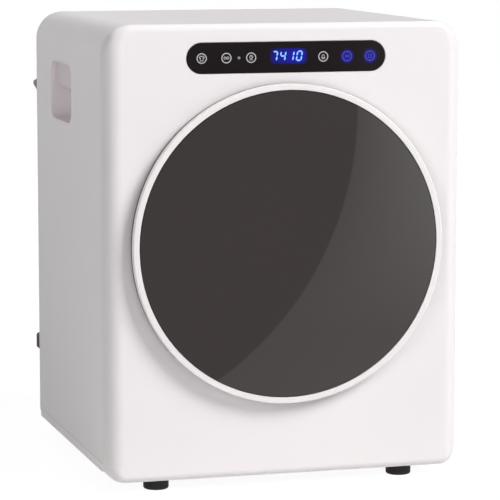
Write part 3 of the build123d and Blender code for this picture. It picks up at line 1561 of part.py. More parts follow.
with BuildPart() as door_screws:
    with BuildSketch(on_drum_axis(frame_rear)):
        with PolarLocations(door_screw_ring, door_screw_count, door_screw_turn):
            Circle(door_screw_head_radius)
    extrude(amount=-door_screw_head_height)
    with BuildSketch(on_drum_axis(frame_rear)):
        with PolarLocations(door_screw_ring, door_screw_count, door_screw_turn):
            Circle(door_screw_radius)
    extrude(amount=inner_frame_wall + door_screw_length - screw_play)
finish(door_screws, "door_screws")

with BuildPart() as door_seal:
    with BuildSketch(drum_section):
        with Locations((seal_inner_radius, frame_rear)):
            Rectangle(seal_width, front_y - frame_rear - seal_gap, align=(Align.MIN, Align.MIN))
    revolve(axis=drum_axis)
finish(door_seal, "door_seal")

with BuildPart() as door_striker:
    with BuildSketch(facing(frame_rear)):
        with Locations((catch_x, drum_axis_z)):
            Rectangle(striker_width + striker_foot, striker_height + striker_foot)
    extrude(amount=-inner_frame_setback)
    with BuildSketch(facing(frame_rear)):
        with Locations((catch_x, drum_axis_z)):
            Rectangle(striker_width, striker_height)
    extrude(amount=-inner_frame_setback - striker_length)
    chamfer(door_striker.edges().group_by(Axis.Y)[-1].filter_by(Axis.Z), striker_tip)
finish(door_striker, "door_striker")

# Hinge: pin in the door's knuckles, and the bent arm on a plate behind the front panel
with BuildPart() as hinge_pin:
    with BuildSketch(Plane.XY.offset(drum_axis_z - knuckle_span / 2)):
        with Locations(hinge_place):
            Circle(hinge_pin_radius)
    extrude(amount=knuckle_span)
finish(hinge_pin, "hinge_pin")

with BuildPart() as hinge_bracket:
    arm_end = hinge_x + hinge_arm_reach
    with BuildSketch(Plane.XY.offset(drum_axis_z - hinge_eye_height / 2)):
        with Locations(hinge_place):
            Circle(hinge_eye_radius)
        with Locations((hinge_x, hinge_y - hinge_arm_gap)):
            Rectangle(hinge_arm_reach, hinge_arm_thickness, align=(Align.MIN, Align.MAX))
        arm_front = hinge_y - hinge_arm_gap - hinge_arm_thickness
        with Locations((arm_end, arm_front)):
            arm_depth = panel_rear + hinge_plate_thickness - arm_front
            Rectangle(hinge_arm_thickness, arm_depth, align=(Align.MAX, Align.MIN))
    extrude(amount=hinge_eye_height)
    with BuildSketch(Plane.XY.offset(drum_axis_z - hinge_eye_height / 2)):
        with Locations(hinge_place):
            Circle(hinge_pin_radius + shaft_play)
    extrude(amount=hinge_eye_height, mode=Mode.SUBTRACT)
    with BuildSketch(facing(panel_rear)):
        with Locations((hinge_x + hinge_plate_width / 2, drum_axis_z)):
            RectangleRounded(hinge_plate_width, hinge_plate_height, hinge_plate_corner)
    extrude(amount=-hinge_plate_thickness)
    with BuildSketch(facing(panel_rear)):
        with Locations(*hinge_screw_places):
            Circle(screw_shank_radius + screw_play)
    extrude(amount=-hinge_plate_thickness, mode=Mode.SUBTRACT)
finish(hinge_bracket, "hinge_bracket")

with BuildPart() as door_catch:
    with BuildSketch(facing(panel_rear)):
        with Locations((catch_x, drum_axis_z)):
            Rectangle(catch_plate_width, catch_plate_height)
            Rectangle(catch_mouth_width, catch_mouth_height, mode=Mode.SUBTRACT)
    extrude(amount=-catch_plate_thickness)
    with BuildSketch(facing(panel_rear)):
        with Locations((catch_x, drum_axis_z)):
            Rectangle(catch_mouth_width + 2 * catch_wall, catch_mouth_height + 2 * catch_wall)
            Rectangle(catch_mouth_width, catch_mouth_height, mode=Mode.SUBTRACT)
    extrude(amount=-catch_depth)
    with BuildSketch(facing(panel_rear)):
        with Locations(*catch_screw_places):
            Circle(screw_shank_radius + screw_play)
    extrude(amount=-catch_plate_thickness, mode=Mode.SUBTRACT)
finish(door_catch, "door_catch")

# Cabinet screws: one size for the rear panel, the exhaust's flange, the hooks, the hinge and the catch
with BuildPart() as cabinet_screws:
    seats = [
        (rear_y, rear_screw_places),
        (rear_y + well_wall, spigot_screw_places),
        (rear_y + hook_sheet, hook_screw_places),
    ]
    for seat_y, places in seats:
        with BuildSketch(facing(seat_y)):
            with Locations(*places):
                Circle(screw_head_radius)
        extrude(amount=-screw_head_height)
        with BuildSketch(facing(seat_y)):
            with Locations(*places):
                Circle(screw_shank_radius)
        extrude(amount=screw_shank_length)
    with BuildSketch(facing(front_y)):
        with Locations(*front_screw_places):
            Circle(screw_head_radius)
    extrude(amount=-screw_head_height)
    with BuildSketch(facing(front_y)):
        with Locations(*front_screw_places):
            Circle(screw_shank_radius)
    extrude(amount=-screw_head_height - screw_shank_length)
finish(cabinet_screws, "cabinet_screws")
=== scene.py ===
"""Looks of the vented tumble dryer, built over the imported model, in metres.

x runs to the right, y to the back and z up, seen by someone who stands before the door.
"""

import json
import math

import bmesh
import bpy
from mathutils import Matrix, Vector


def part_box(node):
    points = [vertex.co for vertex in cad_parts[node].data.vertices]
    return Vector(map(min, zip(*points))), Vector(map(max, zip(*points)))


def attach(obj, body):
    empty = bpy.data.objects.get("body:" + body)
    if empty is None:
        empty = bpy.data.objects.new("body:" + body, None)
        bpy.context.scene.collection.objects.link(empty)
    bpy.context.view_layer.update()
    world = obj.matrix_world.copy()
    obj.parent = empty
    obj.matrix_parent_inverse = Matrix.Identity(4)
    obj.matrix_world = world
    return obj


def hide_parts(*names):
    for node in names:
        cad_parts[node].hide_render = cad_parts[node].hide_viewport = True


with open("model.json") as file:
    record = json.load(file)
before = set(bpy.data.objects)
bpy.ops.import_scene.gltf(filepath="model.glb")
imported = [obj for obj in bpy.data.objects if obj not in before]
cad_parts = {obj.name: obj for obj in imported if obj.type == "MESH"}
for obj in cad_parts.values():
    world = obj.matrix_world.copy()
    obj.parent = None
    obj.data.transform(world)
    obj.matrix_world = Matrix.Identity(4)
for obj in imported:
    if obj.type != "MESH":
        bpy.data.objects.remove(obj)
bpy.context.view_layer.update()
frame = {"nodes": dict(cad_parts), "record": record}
nodes = frame["nodes"]
mm = 0.001

# Camera, as it stood for the photograph
camera_place = (-1.0065, -3.5646, 0.7782)
camera_turn = 0.27865
camera_tilt = 0.13127
camera_lens = 192.24

# Light that the surroundings give, and the white that shines in gloss and glass
ambient = 0.05
ambient_tint = (1.0, 0.965, 0.95)
reflected_white = 1.0
white = (1.0, 1.0, 1.0)

# Light overhead that only shines, from this height upwards
overhead_start = 0.6
overhead_softness = 0.06
overhead_extra = 3.8

# Round shine in the door's glass: what lies further than an angle from an axis, in degrees.
# It grows over the first of them and fades out after the end.
glass_shine_axis = (0.19215, -0.97825, -0.07813)
glass_shine_angle = 7.119
glass_shine_softness = 0.05
glass_shine_base = 0.38
glass_shine_growth = 2.4
glass_shine_end = 11
glass_shine_fade = 8
glass_shine_extra = 1.5

# Soft-edged cards that hang round the dryer, each with the light that it adds or takes
cards = [
    ((-0.274, 0.953, -0.13), -0.15),
    ((0.274, 0.953, 0.13), -0.6),
    ((-0.122, 0.955, 0.268), 0.35),
    ((0.87, -0.475, -0.13), 1.8),
]
card_edge = 0.92
card_softness = 0.05

# Lamps: place, size of the square in metres, and power in watts
lamps = [
    ("key_softbox", (5.4, -5.4, 6.3), 4.2, 890),
    ("fill_softbox", (-5.2, -4.7, 2.35), 3.0, 127),
]
lamp_target = (0, -0.1, 0.35)

# Floor: its own grey, and the even white that the camera sees over it
floor_reach = 6.0
floor_grey = 0.8
floor_glow = 1.17
floor_glow_share = 0.8

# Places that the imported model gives
fascia_low, fascia_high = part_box("control_fascia")
fascia_z = (fascia_low[2] + fascia_high[2]) / 2
fascia_front = fascia_low[1]
glass_low, glass_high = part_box("door_glass")
glass_z = (glass_low[2] + glass_high[2]) / 2
glass_radius = (glass_high[0] - glass_low[0]) / 2
ring_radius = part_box("door_ring")[1][0]
rear_back, rear_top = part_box("rear_panel")[1][1:]

# Feet, each as far from the middle of the four
foot_x = 170 * mm
foot_middle_y = -4 * mm
foot_y = 182 * mm

# Grip across the upper half of the handle pockets, painted greyer as shade
cup_low, cup_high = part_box("left_handle_cup")
grip_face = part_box("cabinet_wrap")[1][0] - 6 * mm
grip_middle = (cup_low[1] + cup_high[1]) / 2
grip_low = cup_high[2] - 50 * mm
grip_half_length = 63.2 * mm
grip_sheet = 0.5 * mm

# Black edge of the door's glass, and the reach of the painted light on its ring's outer wall and of the
# painted shade where the ring meets the panel
glass_border = 1.2 * mm
wall_light_reach = 0.6 * mm
seal_shade_reach = 4 * mm
seal_shade_width = 8 * mm

# Signs on the panel, in x from its middle
sign_places = {
    "shirt": -115.2 * mm,
    "wave": -81.9 * mm,
    "eye": -65.0 * mm,
    "clock": -48.5 * mm,
    "bell": 49.8 * mm,
    "start": 82.6 * mm,
    "power": 114.3 * mm,
}
sign_radius = 6.2 * mm
sign_line = 1.15 * mm
icon_line = 0.7 * mm
sign_lift = 0.04 * mm
eye_radius = 1.9 * mm
glow_radius = 10.4 * mm

# Figures of the number display, the bars that are lit in each, and the glow round them
digit_height = 13.7 * mm
digit_width = 8.2 * mm
bar_width = 1.9 * mm
bar_gap = 0.35 * mm
slant = 0.17
figures_z = fascia_z + 1.5 * mm
figures = [("abc", -16.6 * mm), ("bcfg", -5.4 * mm), ("bc", 5.8 * mm), ("abcdef", 17.0 * mm)]
glow_middle = 2.0 * mm
glow_half_width = 26.5 * mm
glow_half_height = 11.5 * mm
glow_fade_width = 26.2 * mm
glow_fade_height = 11.2 * mm

# Hoods over the rear panel's vent slots
slot_side = 150 * mm
slot_drop = 177 * mm
slot_pitch = 12 * mm
slot_count = 9
hood_length = 88 * mm
hood_rise = 3.6 * mm
hood_fall = 1.7 * hood_rise
hood_reach = 3.4 * mm
hood_sheet = 0.7 * mm


def tone(red, green, blue):
    """A colour as it looks on a screen, from 0 to 255, as the light it stands for."""
    shares = [value / 255 for value in (red, green, blue)]
    return tuple(share / 12.92 if share < 0.04 else ((share + 0.055) / 1.055) ** 2.4 for share in shares)


def dimmed(colour, share):
    return tuple(value * share for value in colour)


class Socket:
    """A number in a node tree, with the sums that are written on it."""

    def __init__(self, graph, link):
        self.graph = graph
        self.link = link

    def sum(self, operation, *values, clamp=False):
        settings = {"operation": operation, "use_clamp": clamp}
        return self.graph.node("ShaderNodeMath", settings, dict(enumerate(values)))

    def __add__(self, other):
        return self.sum("ADD", self, other)

    def __sub__(self, other):
        return self.sum("SUBTRACT", self, other)

    def __mul__(self, other):
        return self.sum("MULTIPLY", self, other)

    def __truediv__(self, other):
        return self.sum("DIVIDE", self, other)

    def __pow__(self, other):
        return self.sum("POWER", self, other)

    def __lt__(self, other):
        return self.sum("LESS_THAN", self, other)

    def __gt__(self, other):
        return self.sum("GREATER_THAN", self, other)

    def __rsub__(self, other):
        return self.sum("SUBTRACT", other, self)

    __radd__ = __add__
    __rmul__ = __mul__

    def abs(self):
        return self.sum("ABSOLUTE", self)

    def sin(self):
        return self.sum("SINE", self)

    def degrees(self):
        """The angle, in degrees, that has the value as its cosine."""
        return self.sum("ARCCOSINE", self) * (180 / math.pi)

    def at_least(self, low):
        return self.sum("MAXIMUM", self, low)

    def at_most(self, high):
        return self.sum("MINIMUM", self, high)

    def clamp(self):
        return self.sum("ADD", self, 0, clamp=True)

    def between(self, low, high):
        """1 where the value lies between the two, and 0 elsewhere."""
        return (self > low) * (self < high)


class Graph:
    """A node tree, with one method that makes and fills a node."""

    def __init__(self, tree):
        self.tree = tree

    def feed(self, node, values):
        for key, value in values.items():
            socket = node.inputs[key.replace("_", " ") if isinstance(key, str) else key]
            if isinstance(value, Socket):
                self.tree.links.new(value.link, socket)
            elif socket.type == "RGBA":
                socket.default_value = (*value, 1.0)[:4]
            else:
                socket.default_value = value

    def node(self, kind, settings=None, values=None, output=0):
        made = self.tree.nodes.new(kind)
        for key, value in (settings or {}).items():
            if key == "stops":
                set_stops(made.color_ramp, value)
            else:
                setattr(made, key, value)
        self.feed(made, values or {})
        return Socket(self, made.outputs[output])


def set_stops(ramp, stops):
    """Give a colour ramp its stops, as (place, grey or colour) pairs."""
    while len(ramp.elements) > 1:
        ramp.elements.remove(ramp.elements[-1])
    for index, (place, colour) in enumerate(stops):
        stop = ramp.elements[0] if index == 0 else ramp.elements.new(place)
        stop.position = place
        stop.color = (*colour, 1.0) if isinstance(colour, tuple) else (colour, colour, colour, 1.0)


class Paint(Graph):
    """A material, its shader and the values that feed it."""

    def __init__(self, name, **inputs):
        self.material = bpy.data.materials.new(name)
        self.material.use_nodes = True
        super().__init__(self.material.node_tree)
        self.shader = self.tree.nodes["Principled BSDF"]
        self.feed(self.shader, inputs)
        self.place = self.node("ShaderNodeTexCoord", output="Object")

    def set(self, **inputs):
        self.feed(self.shader, inputs)
        return self

    def xyz(self):
        split = self.node("ShaderNodeSeparateXYZ", None, {0: self.place})
        outputs = split.link.node.outputs
        return [Socket(self, output) for output in outputs]

    def about_door(self):
        """Distance from the axis of door and drum, and the turn about it in radians."""
        across, _, height = self.xyz()
        up = height - glass_z
        return (across * across + up * up) ** 0.5, across.sum("ARCTAN2", up, across)

    def noise(self, scale, detail=2.0, stretch=(1, 1, 1), rough=0.5):
        spread = self.node("ShaderNodeMapping", None, {"Vector": self.place, "Scale": stretch})
        values = {"Vector": spread, "Scale": scale, "Detail": detail, "Roughness": rough}
        return self.node("ShaderNodeTexNoise", None, values)

    def cells(self, scale, output, randomness=1.0):
        values = {"Vector": self.place, "Scale": scale, "Randomness": randomness}
        return self.node("ShaderNodeTexVoronoi", None, values, output)

    def ramp(self, value, *stops):
        return self.node("ShaderNodeValToRGB", {"stops": stops}, {0: value})

    def mix(self, share, first, second):
        return self.node("ShaderNodeMix", {"data_type": "RGBA"}, {0: share, 6: first, 7: second}, 2)

    def bump(self, height, depth, strength=1.0):
        values = {"Height": height, "Distance": depth, "Strength": strength}
        return self.set(Normal=self.node("ShaderNodeBump", None, values))


# Finishes
enamel_white = tone(236, 231, 232)


def waves(place, pitch):
    """Even waves along a place, from -1 to 1."""
    return (place * (2 * math.pi / pitch)).sin()


def white_finish(name, roughness, coat):
    """White enamel or moulding: nearly even, with the faint ripple of its gloss."""
    paint = Paint(name, Coat_Weight=coat, Coat_Roughness=0.08, IOR=1.45, Specular_IOR_Level=0.25)
    cloud = paint.noise(9.0, 3.0)
    paint.set(Base_Color=paint.mix(cloud, dimmed(enamel_white, 0.985), enamel_white))
    paint.set(Roughness=paint.noise(40.0, 4.0) * 0.10 + (roughness - 0.05))
    return paint.bump(paint.noise(420.0, 1.0), 0.00004, 0.35)


def door_ring_enamel():
    """White ring of the door, with painted light that makes its outer wall whiter, and a dark band of painted
    shade at the back of that wall where it meets the panel.
    """
    paint = white_finish("door_ring_enamel", 0.30, 0.12)
    radius, _ = paint.about_door()
    _, y, _ = paint.xyz()
    # The outermost wall of the ring is painted whiter: painted light
    painted_wall_light = radius > ring_radius - wall_light_reach
    # Dark band at the back of the wall: painted shade where the ring meets the panel
    painted_seal_shade = (radius > ring_radius - seal_shade_reach) * (y > fascia_front - seal_shade_width)
    shade = paint.mix(painted_wall_light, enamel_white, tone(252, 249, 250))
    return paint.set(Base_Color=paint.mix(painted_seal_shade, shade, tone(24, 21, 22)))


def tinted_glass():
    """Dark brown door glass with its thin black edge."""
    paint = Paint("tinted_glass", IOR=1.45)
    radius, _ = paint.about_door()
    border = radius > glass_radius - glass_border
    cloud = paint.noise(6.0, 2.0)
    body = paint.mix(cloud, tone(34, 25, 22), tone(38, 28, 25))
    paint.set(Base_Color=paint.mix(border, body, tone(14, 11, 10)))
    return paint.set(Roughness=cloud * 0.004 + 0.002)


def window_paint(name, **inputs):
    """The gloss of the panel's black window, for the window and for what glows in it."""
    return Paint(name, Roughness=0.07, Specular_IOR_Level=0.06, **inputs)


def black_window():
    """Gloss black touch window with a faint clouding."""
    paint = window_paint("black_window", IOR=1.45)
    cloud = paint.noise(30.0, 3.0)
    return paint.set(Base_Color=paint.mix(cloud, tone(24, 18, 21), tone(31, 25, 27)))


def moulding(name, colour, roughness):
    """Textured moulded plastic: a fine spark-eroded grain and a little clouding."""
    paint = Paint(name, IOR=1.46)
    cloud = paint.noise(14.0, 3.0)
    paint.set(Base_Color=paint.mix(cloud, dimmed(colour, 0.86), colour))
    paint.set(Roughness=paint.noise(60.0, 3.0) * 0.14 + (roughness - 0.07))
    return paint.bump(paint.noise(900.0, 2.0), 0.00005, 0.6)


def pocket_moulding():
    """The handle pockets' moulding, with painted shade that makes the grip across their upper half a little
    greyer.
    """
    paint = moulding("pocket_moulding", tone(248, 240, 243), 0.45)
    x, y, z = paint.xyz()
    # Greyer grip inside the pocket: painted shade
    painted_grip_shade = x.abs().between(grip_face - grip_sheet, grip_face + grip_sheet)
    painted_grip_shade = painted_grip_shade * ((y - grip_middle).abs() < grip_half_length) * (z > grip_low)
    shade = paint.mix(paint.noise(14.0, 3.0), tone(232, 224, 227), tone(248, 240, 243))
    return paint.set(Base_Color=paint.mix(painted_grip_shade, shade, tone(218, 208, 212)))


def rubber(name, colour=(22, 20, 20), rings=None):
    """Black rubber, dull, with dust in its grain."""
    paint = Paint(name, IOR=1.5, Specular_IOR_Level=0.3)
    dust = paint.noise(300.0, 5.0, rough=0.7)
    paint.set(Base_Color=paint.mix(dust, tone(*colour), tone(*(value + 16 for value in colour))))
    paint.set(Roughness=dust * 0.2 + 0.62)
    height = dust * 0.4 if rings is None else dust * 0.2 + rings(paint)
    return paint.bump(height, 0.0002, 0.7)


def brushed_steel(name, colour, along, roughness=0.3):
    """Steel with fine brush marks that run along one axis, named by its number."""
    paint = Paint(name, Metallic=1.0)
    stretch = [1.0, 1.0, 1.0]
    stretch[along] = 0.02
    marks = paint.noise(1800.0, 3.0, tuple(stretch))
    wear = paint.noise(18.0, 4.0)
    paint.set(Base_Color=paint.mix(marks * 0.6 + wear * 0.4, dimmed(colour, 0.8), colour))
    paint.set(Roughness=marks * 0.16 + (wear * 0.1 + (roughness - 0.13)))
    return paint.bump(marks, 0.00003, 0.5)


def galvanised():
    """Zinc-coated sheet with a faint spangle."""
    paint = Paint("galvanised", Metallic=0.9)
    spangle = paint.cells(120.0, "Color")
    grey = paint.node("ShaderNodeRGBToBW", None, {0: spangle})
    fine = paint.noise(700.0, 3.0)
    paint.set(Base_Color=paint.mix(grey * 0.5 + fine * 0.3, tone(158, 161, 164), tone(192, 195, 197)))
    paint.set(Roughness=grey * 0.08 + 0.36)
    return paint.bump(fine, 0.00003, 0.5)


def cast_alloy():
    """Die-cast alloy with a fine sandy skin."""
    paint = Paint("cast_alloy", Metallic=0.85)
    skin = paint.noise(520.0, 5.0, rough=0.65)
    paint.set(Base_Color=paint.mix(skin, tone(146, 148, 150), tone(186, 188, 190)))
    paint.set(Roughness=skin * 0.2 + 0.4)
    return paint.bump(skin, 0.00015, 0.6)


def pressed_felt():
    """Grey-brown pressed wool with loose fibres."""
    paint = Paint("pressed_felt", Specular_IOR_Level=0.15)
    fibre = paint.noise(700.0, 6.0, (1, 3, 1), 0.8)
    paint.set(Base_Color=paint.mix(fibre, tone(104, 96, 86), tone(150, 142, 130)))
    paint.set(Roughness=fibre * 0.15 + 0.82, Sheen_Weight=0.4)
    return paint.bump(fibre, 0.0006, 0.9)


def screen_mesh():
    """Woven nylon lint screen: crossing threads with dark pores between them."""
    paint = Paint("screen_mesh")
    x, _, z = paint.xyz()
    threads = (waves(x, 1.6 * mm).abs() + waves(z, 1.6 * mm).abs()) * 0.5
    paint.set(Base_Color=paint.ramp(threads, (0.3, tone(70, 76, 82)), (0.7, tone(206, 212, 218))))
    paint.set(Roughness=threads * 0.2 + 0.5)
    return paint.bump(threads, 0.0003, 0.8)


def circuit_board():
    """Green laminate with lighter copper tracks under the mask."""
    paint = Paint("circuit_board", IOR=1.5)
    tracks = paint.cells(260.0, "Distance", 0.25).between(0.30, 0.36)
    paint.set(Base_Color=paint.mix(tracks, tone(22, 92, 58), tone(44, 132, 86)))
    return paint.set(Roughness=tracks * -0.1 + 0.42)


def number_cells():
    """The window over the number cells, dark blue and clear."""
    paint = Paint("number_cells", Roughness=0.15, Coat_Weight=0.3)
    return paint.set(Base_Color=paint.mix(paint.noise(200.0), tone(12, 20, 60), tone(20, 30, 84)))


def motor_enamel():
    """Dark enamel of the motor's housing with the laminations' fine lines round its middle."""
    paint = Paint("motor_enamel", Metallic=0.3)
    _, y, _ = paint.xyz()
    lines = waves(y, 1.6 * mm) * 0.5 + 0.5
    grain = paint.noise(500.0, 4.0)
    paint.set(Base_Color=paint.mix(grain * 0.5 + lines * 0.3, tone(48, 50, 54), tone(92, 95, 100)))
    paint.set(Roughness=grain * 0.2 + 0.38)
    return paint.bump(lines * 0.6 + grain * 0.4, 0.0002, 0.5)


def drum_steel():
    """Stainless drum: marks that run round it, and the pressed pattern of its wall."""
    paint = Paint("drum_steel", Metallic=1.0)
    _, turn = paint.about_door()
    _, y, _ = paint.xyz()
    marks = paint.noise(1500.0, 3.0, (0.05, 1, 0.05))
    wear = paint.noise(14.0, 4.0)
    across = (turn * 36.0).sin()
    along = waves(y, 36 * mm)
    studs = (across * along - 0.72).at_least(0.0)
    paint.set(Base_Color=paint.mix(marks * 0.5 + wear * 0.5, tone(168, 170, 173), tone(214, 215, 217)))
    paint.set(Roughness=marks * 0.14 + (wear * 0.12 + 0.16))
    return paint.bump(studs * 1.2 + marks * 0.004, 0.0022, 0.8)


def lit(name, colour, strength):
    """A sign behind the window that glows: on a printed sign this glow is painted light, on a lit sign it is
    its own light.
    """
    paint = Paint(name, Roughness=0.4, Emission_Strength=strength)
    grain = paint.noise(900.0, 2.0)
    shade = paint.mix(grain, dimmed(colour, 0.82), colour)
    return paint.set(Base_Color=dimmed(colour, 0.3), Emission_Color=shade)


def foot_rings(paint):
    """Grooves round each foot, as a height."""
    x, y, _ = paint.xyz()
    across = x.abs() - foot_x
    along = (y - foot_middle_y).abs() - foot_y
    radius = (across * across + along * along) ** 0.5
    return waves(radius, 2.5 * mm) * 0.3


def belt_ribs(paint):
    """Ribs that run along a belt, as a height."""
    _, y, _ = paint.xyz()
    return waves(y, 1.6 * mm) * 0.5


finishes = {
    "white_sheet": white_finish("white_enamel", 0.34, 0.10),
    "white_moulding": white_finish("white_moulding", 0.30, 0.12),
    "tinted_glass": tinted_glass(),
    "black_window": black_window(),
    "board": circuit_board(),
    "dark_moulding": moulding("dark_moulding", tone(62, 62, 65), 0.45),
    "grey_moulding": moulding("grey_moulding", tone(176, 177, 180), 0.42),
    "pocket_moulding": pocket_moulding(),
    "drum_steel": drum_steel(),
    "galvanised": galvanised(),
    "axle_steel": brushed_steel("ground_steel", tone(176, 177, 180), 0),
    "screw_steel": brushed_steel("zinc_plate", tone(182, 184, 188), 2, 0.35),
    "light_alloy": cast_alloy(),
    "heater_alloy": brushed_steel("fin_alloy", tone(200, 201, 203), 2, 0.4),
    "motor_steel": motor_enamel(),
    "black_rubber": rubber("black_rubber"),
    "felt": pressed_felt(),
    "mesh": screen_mesh(),
    "nylon": moulding("natural_nylon", tone(226, 222, 208), 0.4),
    "display": number_cells(),
}
slot_of = {entry["node"]: entry["material_slot"] for entry in frame["record"]["subparts"]}


def dress(node, paint):
    """Give a carried-over node its finish."""
    mesh = nodes[node].data
    mesh.materials.clear()
    mesh.materials.append(paint.material)


for node in nodes:
    dress(node, finishes[slot_of[node]])
ringed_rubber = rubber("foot_rubber", (20, 18, 18), foot_rings)
for node in nodes:
    if node.startswith("foot_") and node != "foot_screws":
        dress(node, ringed_rubber)
ribbed_rubber = rubber("belt_rubber", (24, 22, 22), belt_ribs)
for node in ("drum_belt", "fan_belt"):
    dress(node, ribbed_rubber)
dress("door_ring", door_ring_enamel())
dress("wall_hooks", brushed_steel("hook_steel", tone(98, 95, 98), 2, 0.5))


# Pieces that are made here


def piece(name, mesh, paint, body):
    """A new object with its finish, riding on a body."""
    made = bpy.data.objects.new(name, mesh)
    bpy.context.scene.collection.objects.link(made)
    mesh.materials.append(paint.material)
    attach(made, body)
    return made


def ribbon(shape, points, width, closed=False):
    """Flat line of even width through the points, as faces on the plane of the panel."""
    count = len(points)
    rows = []
    for index, point in enumerate(points):
        before = points[index - 1] if index or closed else point
        after = points[(index + 1) % count] if index < count - 1 or closed else point
        first = Vector(point) - Vector(before)
        second = Vector(after) - Vector(point)
        first = first.normalized() if first.length else second.normalized()
        second = second.normalized() if second.length else first
        normal = Vector((-(first + second).y, (first + second).x)).normalized()
        reach = width / 2 / max(0.4, normal.dot(Vector((-first.y, first.x))))
        rows.append([Vector(point) + normal * reach, Vector(point) - normal * reach])
    corners = [[shape.verts.new((place.x, 0, place.y)) for place in row] for row in rows]
    for index in range(count if closed else count - 1):
        here, following = corners[index], corners[(index + 1) % count]
        shape.faces.new((here[0], following[0], following[1], here[1]))


def arc(centre, radius, start, end, steps):
    """Points on an arc, with its angles in degrees."""
    turns = [math.radians(start + (end - start) * step / steps) for step in range(steps + 1)]
    return [(centre[0] + radius * math.cos(turn), centre[1] + radius * math.sin(turn)) for turn in turns]


def ring(shape, radius, width, centre=(0, 0), steps=40):
    ribbon(shape, arc(centre, radius, 0, 360, steps)[:-1], width, closed=True)


def patch(shape, points):
    """A filled flat outline."""
    shape.faces.new([shape.verts.new((x, 0, z)) for x, z in points])


def islands(mesh):
    """The points of each separate screw in a node's mesh."""
    shape = bmesh.new()
    shape.from_mesh(mesh)
    bmesh.ops.remove_doubles(shape, verts=shape.verts, dist=0.01 * mm)
    waiting = dict.fromkeys(shape.verts)
    found = []
    while waiting:
        reached = [waiting.popitem()[0]]
        for point in reached:
            for edge in point.link_edges:
                other = edge.other_vert(point)
                if other in waiting:
                    del waiting[other]
                    reached.append(other)
        found.append([point.co.copy() for point in reached])
    shape.free()
    return found


def level_loop(shape, points, height, scale=1.0):
    """Corners of an outline at one height, scaled about the screw's axis."""
    return [shape.verts.new((x * scale, y * scale, height)) for x, y in points]


def close_ring(shape, lower, upper):
    """Faces between two loops of as many corners."""
    for index in range(len(lower)):
        following = (index + 1) % len(lower)
        shape.faces.new((lower[index], lower[following], upper[following], upper[index]))


# Screw heads as shares of their radius and height, and the thread on their shanks
head_steps = 28
head_profile = [(1.0, 0.0), (1.0, 0.35), (0.95, 0.62), (0.84, 0.84), (0.68, 1.0)]
recess_arm = 0.11
recess_reach = 0.5
recess_floor = 0.35
recess_taper = 0.7
thread_pitch = 0.8 * mm
thread_root = 0.86
tip_taper = 0.7


def cross_head(shape, radius, height, shank_radius, shank_length):
    """A domed head with a cross recess over a shank with its thread, along z with the head up."""
    rim = arc((0, 0), 1.0, 0, 360, head_steps)[:-1]
    rows = [level_loop(shape, rim, height * up, radius * share) for share, up in head_profile]
    for lower, upper in zip(rows, rows[1:]):
        close_ring(shape, lower, upper)
    arm, reach = radius * recess_arm, radius * recess_reach
    quarter = [(arm, arm), (arm, reach), (-arm, reach)]
    cross = []
    for _ in range(4):
        cross += quarter
        quarter = [(-y, x) for x, y in quarter]
    mouth = level_loop(shape, cross, height)
    recess = level_loop(shape, cross, height * recess_floor, recess_taper)
    close_ring(shape, recess, mouth)
    shape.faces.new(recess)
    edges = []
    for row in (rows[-1], mouth):
        edges += [shape.edges.get((row[index], row[index - 1])) for index in range(len(row))]
    bmesh.ops.triangle_fill(shape, use_beauty=True, edges=edges)
    rings_along = max(4, int(shank_length / thread_pitch * 2))
    below = level_loop(shape, rim, 0, shank_radius)
    close_ring(shape, below, rows[0])
    for index in range(1, rings_along + 1):
        share = 1.0 if index % 2 == 0 else thread_root
        if index > rings_along - 2:
            share *= tip_taper
        row = level_loop(shape, rim, -shank_length * index / rings_along, shank_radius * share)
        close_ring(shape, row, below)
        below = row
    shape.faces.new(below)


def screws(node, name, body):
    """Screws with cross recesses in place of the node's plain ones, each turned its own way."""
    mesh = bpy.data.meshes.new(name)
    whole = bmesh.new()
    for points in islands(nodes[node].data):
        low = Vector([min(point[axis] for point in points) for axis in range(3)])
        high = Vector([max(point[axis] for point in points) for axis in range(3)])
        size = high - low
        middle = (low + high) / 2
        along = max(range(3), key=lambda axis: size[axis])
        across = (along + 1) % 3
        head_radius = size[across] / 2
        wide = [point[along] for point in points if (point - middle)[across] > head_radius * 0.9]
        head_height = max(wide) - min(wide)
        outward = 1 if max(wide) > high[along] - 0.1 * mm else -1
        head_end, tip_end = (high[along], low[along]) if outward > 0 else (low[along], high[along])
        tip = [point for point in points if abs(point[along] - tip_end) < 0.05 * mm]
        shank_radius = max(abs((point - middle)[across]) for point in tip)
        one = bmesh.new()
        cross_head(one, head_radius, head_height, shank_radius, size[along] - head_height)
        axis = Vector([outward if index == along else 0 for index in range(3)])
        place = middle.copy()
        place[along] = head_end - outward * head_height
        turn = Matrix.Rotation(0.37 * len(whole.verts), 4, "Z")
        one.transform(Matrix.Translation(place) @ axis.to_track_quat("Z", "Y").to_matrix().to_4x4() @ turn)
        part = bpy.data.meshes.new("one")
        one.to_mesh(part)
        whole.from_mesh(part)
        one.free()
        bpy.data.meshes.remove(part)
    bmesh.ops.recalc_face_normals(whole, faces=whole.faces)
    whole.to_mesh(mesh)
    whole.free()
    made = piece(name, mesh, finishes["screw_steel"], body)
    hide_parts(node)


for node, name, body in (
    ("cabinet_screws", "cross_head_screws", "cabinet"),
    ("foot_screws", "cross_head_foot_screws", "cabinet"),
    ("door_screws", "cross_head_door_screws", "door"),
):
    screws(node, name, body)


